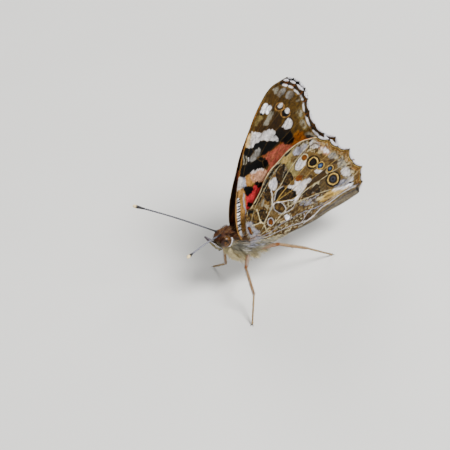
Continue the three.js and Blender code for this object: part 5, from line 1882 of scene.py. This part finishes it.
@dataclass(frozen=True)
class Leg:
    """One walking leg: hip, knee and ankle in the body frame and the foot's place over the floor."""

    label: str
    hip: tuple
    knee: tuple
    ankle: tuple
    foot: tuple
    sole: float = 0.28

    def tubes(self) -> list:
        """Thigh, shank and foot."""
        hip, knee, ankle = (np.array(p) for p in (self.hip, self.knee, self.ankle))
        heel = STANCE.over_floor(*self.foot, self.sole)
        between = lambda a, b, t: tuple(a + (b - a) * t)
        thigh = Tube((self.hip, between(hip, knee, 0.4), between(hip, knee, 0.9), self.knee),
                     (0.3, 0.34, 0.28, 0.2), 0.16, 3)
        shank = Tube((self.knee, between(knee, ankle, 0.15), between(knee, ankle, 0.85), self.ankle),
                     (0.2, 0.26, 0.25, 0.2), 0.16, 3)
        shares = np.linspace(0, 1, 26)
        pinch = np.min([np.abs(shares - j) for j in FOOT_JOINTS], axis=0)
        sizes = 0.13 + 0.045 * np.clip(pinch / 0.05, 0, 1)
        foot = Tube(tuple(between(ankle, heel, t) for t in shares), tuple(sizes), 0.1, 3)
        return [thigh, shank, foot]

    def claws(self) -> list:
        """Two curved claws at the end of the foot."""
        ankle, heel = np.array(self.ankle), STANCE.over_floor(*self.foot, self.sole)
        ahead = STANCE.place(heel[None])[0] - STANCE.place(ankle[None])[0]
        ahead[2] = 0
        ahead /= np.linalg.norm(ahead)
        across = np.cross([0, 0, 1], ahead)
        made = []
        for side in (-1, 1):
            steps = ((0, 0.28), (0.2, 0.26), (0.36, 0.18), (0.44, 0.05))
            start = STANCE.place(heel[None])[0]
            world = [start + MM * (ahead * f + across * side * (0.05 + f * 0.5)) for f, _ in steps]
            for place, (_, height) in zip(world, steps):
                place[2] = height * MM
            path = tuple(map(tuple, STANCE.body(np.array(world))))
            made.append(Tube(path, (0.06, 0.05, 0.035, 0.012), 0.06, 2))
        return made

    def tone(self, segment: int, out: Array, share: Array) -> Array:
        """Colour along one segment."""
        under = ease(0.35, -0.25, out[:, 0])
        if segment == 0:
            colour = blend(linear(206, 200, 196), linear(188, 158, 120), under)
            return blend(colour, linear(184, 140, 90), ease(0.82, 0.95, share))
        if segment == 1:
            colour = blend(linear(206, 192, 168), linear(182, 148, 102), under)
            return blend(colour, Tone.MILK.light(), ease(0.4, 0.75, np.abs(out[:, 0])) * 0.8)
        gap = np.min([np.abs(share - j) for j in FOOT_JOINTS[1:-1]], axis=0)
        return blend(linear(196, 178, 148), linear(124, 100, 76), ease(0.3, 0.1, gap * 8) * 0.5)

    def build(self) -> tuple:
        """Makes the leg and its scales.

        Returns:
            The leg and the coat of scales.
        """
        parts, scales = [], []
        for number, tube in enumerate(self.tubes()):
            part = tube.build(f"{self.label}_{number}")
            points = STANCE.body(points_of(part))
            share = tube.share(points)
            normal = np.zeros_like(points)
            normal[:, 2] = 0.2
            paint(part, self.tone(number, normal, share) * 0.85)
            parts.append(part)
            tone = lambda o, s, n=number: self.tone(n, o, s)
            band = (0.02 + number * 0.2, 0.16)
            scales.append(clad(f"{self.label}_s{number}", tube, LEG_SCALES[number], tone, band))
            if number:
                dark = lambda o, s: linear(70, 44, 30)
                band = (0.42 + number * 0.2, 0.16)
                scales.append(clad(f"{self.label}_p{number}", tube, LEG_SPINES[number - 1], dark, band))
        for number, claw in enumerate(self.claws()):
            part = claw.build(f"{self.label}_claw{number}")
            paint(part, linear(40, 24, 18))
            parts.append(part)
        return joined(f"leg_{self.label}", parts), joined(f"leg_scales_{self.label}", scales)


LEGS = (
    Leg("mid_left", (0.4, -0.9, -1.75), (-2.5, -5.3, -1.8), (-1.7, -7.0, -6.74), (-3.04, -9.0)),
    Leg("mid_right", (0.4, 0.9, -1.75), (-2.0, 4.6, -1.5), (-1.6, 4.5, -6.6), (-2.1, 8.5)),
    Leg("hind_left", (2.0, -0.9, -1.3), (5.25, -3.4, 0.1), (11.4, -3.2, -2.6), (17.5, -2.0)),
    Leg("hind_right", (2.0, 0.9, -1.3), (5.5, 4.5, 0.3), (10.5, 7.5, -2.8), (14.0, 9.5)),
)


# ---- Studio

@dataclass(frozen=True)
class Studio:
    """Camera, soft lights and a pale floor."""

    right: tuple = (0.891, -0.454, 0.0)
    up: tuple = (0.234, 0.459, 0.857)
    back: tuple = (-0.389, -0.764, 0.515)
    distance: float = 330.0
    slide: tuple = (-3.67, 3.303)
    lens: float = 143.9

    def build(self) -> None:
        """Adds everything to the scene."""
        right, up, back = (np.array(v) for v in (self.right, self.up, self.back))
        place = right * self.slide[0] + up * self.slide[1] + back * self.distance
        turn = STANCE.turn()
        axes = [turn @ v / np.linalg.norm(v) for v in (right, up, back)]
        stand = STANCE.place(place)
        rows = [[*(axis[k] for axis in axes), stand[k]] for k in range(3)]
        camera = added("camera", bpy.data.cameras.new("camera"))
        camera.matrix_world = Matrix([*rows, [0, 0, 0, 1]])
        camera.data.lens = self.lens
        camera.data.sensor_width = 36
        camera.data.clip_start, camera.data.clip_end = 0.01, 10
        camera.data.dof.use_dof = False
        bpy.context.scene.camera = camera
        deselect()
        bpy.ops.mesh.primitive_plane_add(size=3.0)
        floor = active()
        floor.name = "floor"
        floor.data.materials.append(PlainFloor().make())
        for name, place, size, power in (
            ("key", (0.24, -0.32, 0.6), 0.25, 10.0),
            ("fill", (-0.6, -0.3, 0.35), 0.6, 2.0),
            ("rim", (0.2, 0.6, 0.5), 0.4, 3.5),
        ):
            lamp = bpy.data.lights.new(name, "AREA")
            lamp.size, lamp.energy = size, power
            light = added(name, lamp)
            light.location = place
            way = np.array([0, 0, 0.015]) - np.array(place)
            light.rotation_mode = "QUATERNION"
            light.rotation_quaternion = Vector(way).to_track_quat("-Z", "Y")
        world = bpy.data.worlds.new("studio")
        bpy.context.scene.world = world
        world.use_nodes = True
        sky = world.node_tree.nodes["Background"].inputs
        sky["Color"].default_value = (0.9, 0.94, 1.0, 1)
        sky["Strength"].default_value = 0.32


def dress(piece: Piece, material: bpy.types.Material, slot: str, *nodes: str) -> Piece:
    """Gives a piece its finish and its body, and hides the nodes it stands for."""
    piece.data.materials.clear()
    piece.data.materials.append(material)
    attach(piece, "root")
    if nodes:
        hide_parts(*nodes)
    log.info("%s: %d faces", piece.name, len(piece.data.polygons))
    return piece


def main() -> None:
    """Builds every piece in order."""
    logging.basicConfig(level=logging.INFO, format="%(name)s: %(message)s")
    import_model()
    Studio().build()
    scales, hair, cuticle, glass = (kind.make() for kind in (WingScales(), HAIR, CUTICLE, EYE_GLASS))

    forewing = Wing(WingPlan("forewing", FOREWING_FRONT, FOREWING_TIPS, FOREWING_REAR, FOREWING_VEINS,
                             (-1.5, 2.5), forewing_off, FOREWING_OUTER, FOREWING_INNER, 100))
    hindwing = Wing(WingPlan("hindwing", HINDWING_FRONT, HINDWING_TIPS, HINDWING_REAR, HINDWING_VEINS,
                             (0.8, 1.5), hindwing_off, HINDWING_OUTER, HINDWING_INNER, 200))
    for label, side, swing in (("left", -1, 0.0), ("right", 1, 3.4)):
        for wing, pose in ((forewing, WingPose(side, swing)), (hindwing, WingPose(side))):
            kind = wing.plan.kind
            dress(wing.build(f"{kind}_{label}_scaled", pose), scales, kind, f"{kind}_{label}")
            dress(wing.fringe(f"{kind}_{label}_fringe", pose), hair, kind)
        dress(hindwing.root_hair(f"hindwing_{label}_root_hair", WingPose(side), 1100), hair, "hindwing")

    body = Body(BodyForm())
    skin = dress(body.skin(), hair, "dark_fur", "thorax", "abdomen", "head")
    for part in COATS:
        dress(body.coat(part, skin), hair, part.slot)

    eyes, parts = Eyes(EyeForm()), HeadParts()
    palp_scales = Hairs(1500, (0.22, 0.4), (0.05, 0.09), 0.14, 41)
    foreleg_hair = Hairs(700, (0.5, 0.95), (0.07, 0.11), 0.35, 51)
    for label, side, tip, pale_from in (
        ("left", -1, (-17.0, -11.2, 7.9), 0.3),
        ("right", 1, (-17.9, 9.7, 7.6), 1.0),
    ):
        dress(eyes.build(f"eye_{label}_facets", side), glass, "eye", f"eye_{label}")
        dress(eyes.rim(f"eye_{label}_rim", side), hair, "pale_fur")
        palp = parts.palp_tube(side)
        core = palp.build(f"palp_{label}_core")
        paint(core, Tone.WARM_GREY.light())
        dress(core, cuticle, "pale_fur", f"palp_{label}")
        dress(clad(f"palp_{label}_scales", palp, palp_scales, parts.palp_tone), hair, "pale_fur")
        tube = parts.feeler(tip)
        feeler = tube.build(f"feeler_{label}")
        paint(feeler, parts.feeler_tone(tube.share(STANCE.body(points_of(feeler))), pale_from))
        dress(feeler, cuticle, "feeler", f"antenna_{label}")
        fore = parts.foreleg(side)
        limb = fore.build(f"foreleg_{label}_core")
        paint(limb, Tone.CREAM.light())
        dress(limb, cuticle, "pale_fur", f"foreleg_{label}")
        cream = lambda o, s: Tone.CREAM.light()
        dress(clad(f"foreleg_{label}_hair", fore, foreleg_hair, cream), hair, "pale_fur")
    tongue = parts.tongue().build("tongue")
    paint(tongue, linear(74, 48, 34))
    dress(tongue, cuticle, "feeler", "proboscis")
    for leg in LEGS:
        limb, coat = leg.build()
        dress(limb, cuticle, "leg", *(f"{part}_{leg.label}" for part in ("femur", "tibia", "tarsus")))
        dress(coat, hair, "leg")


if __name__ == "__main__":
    main()
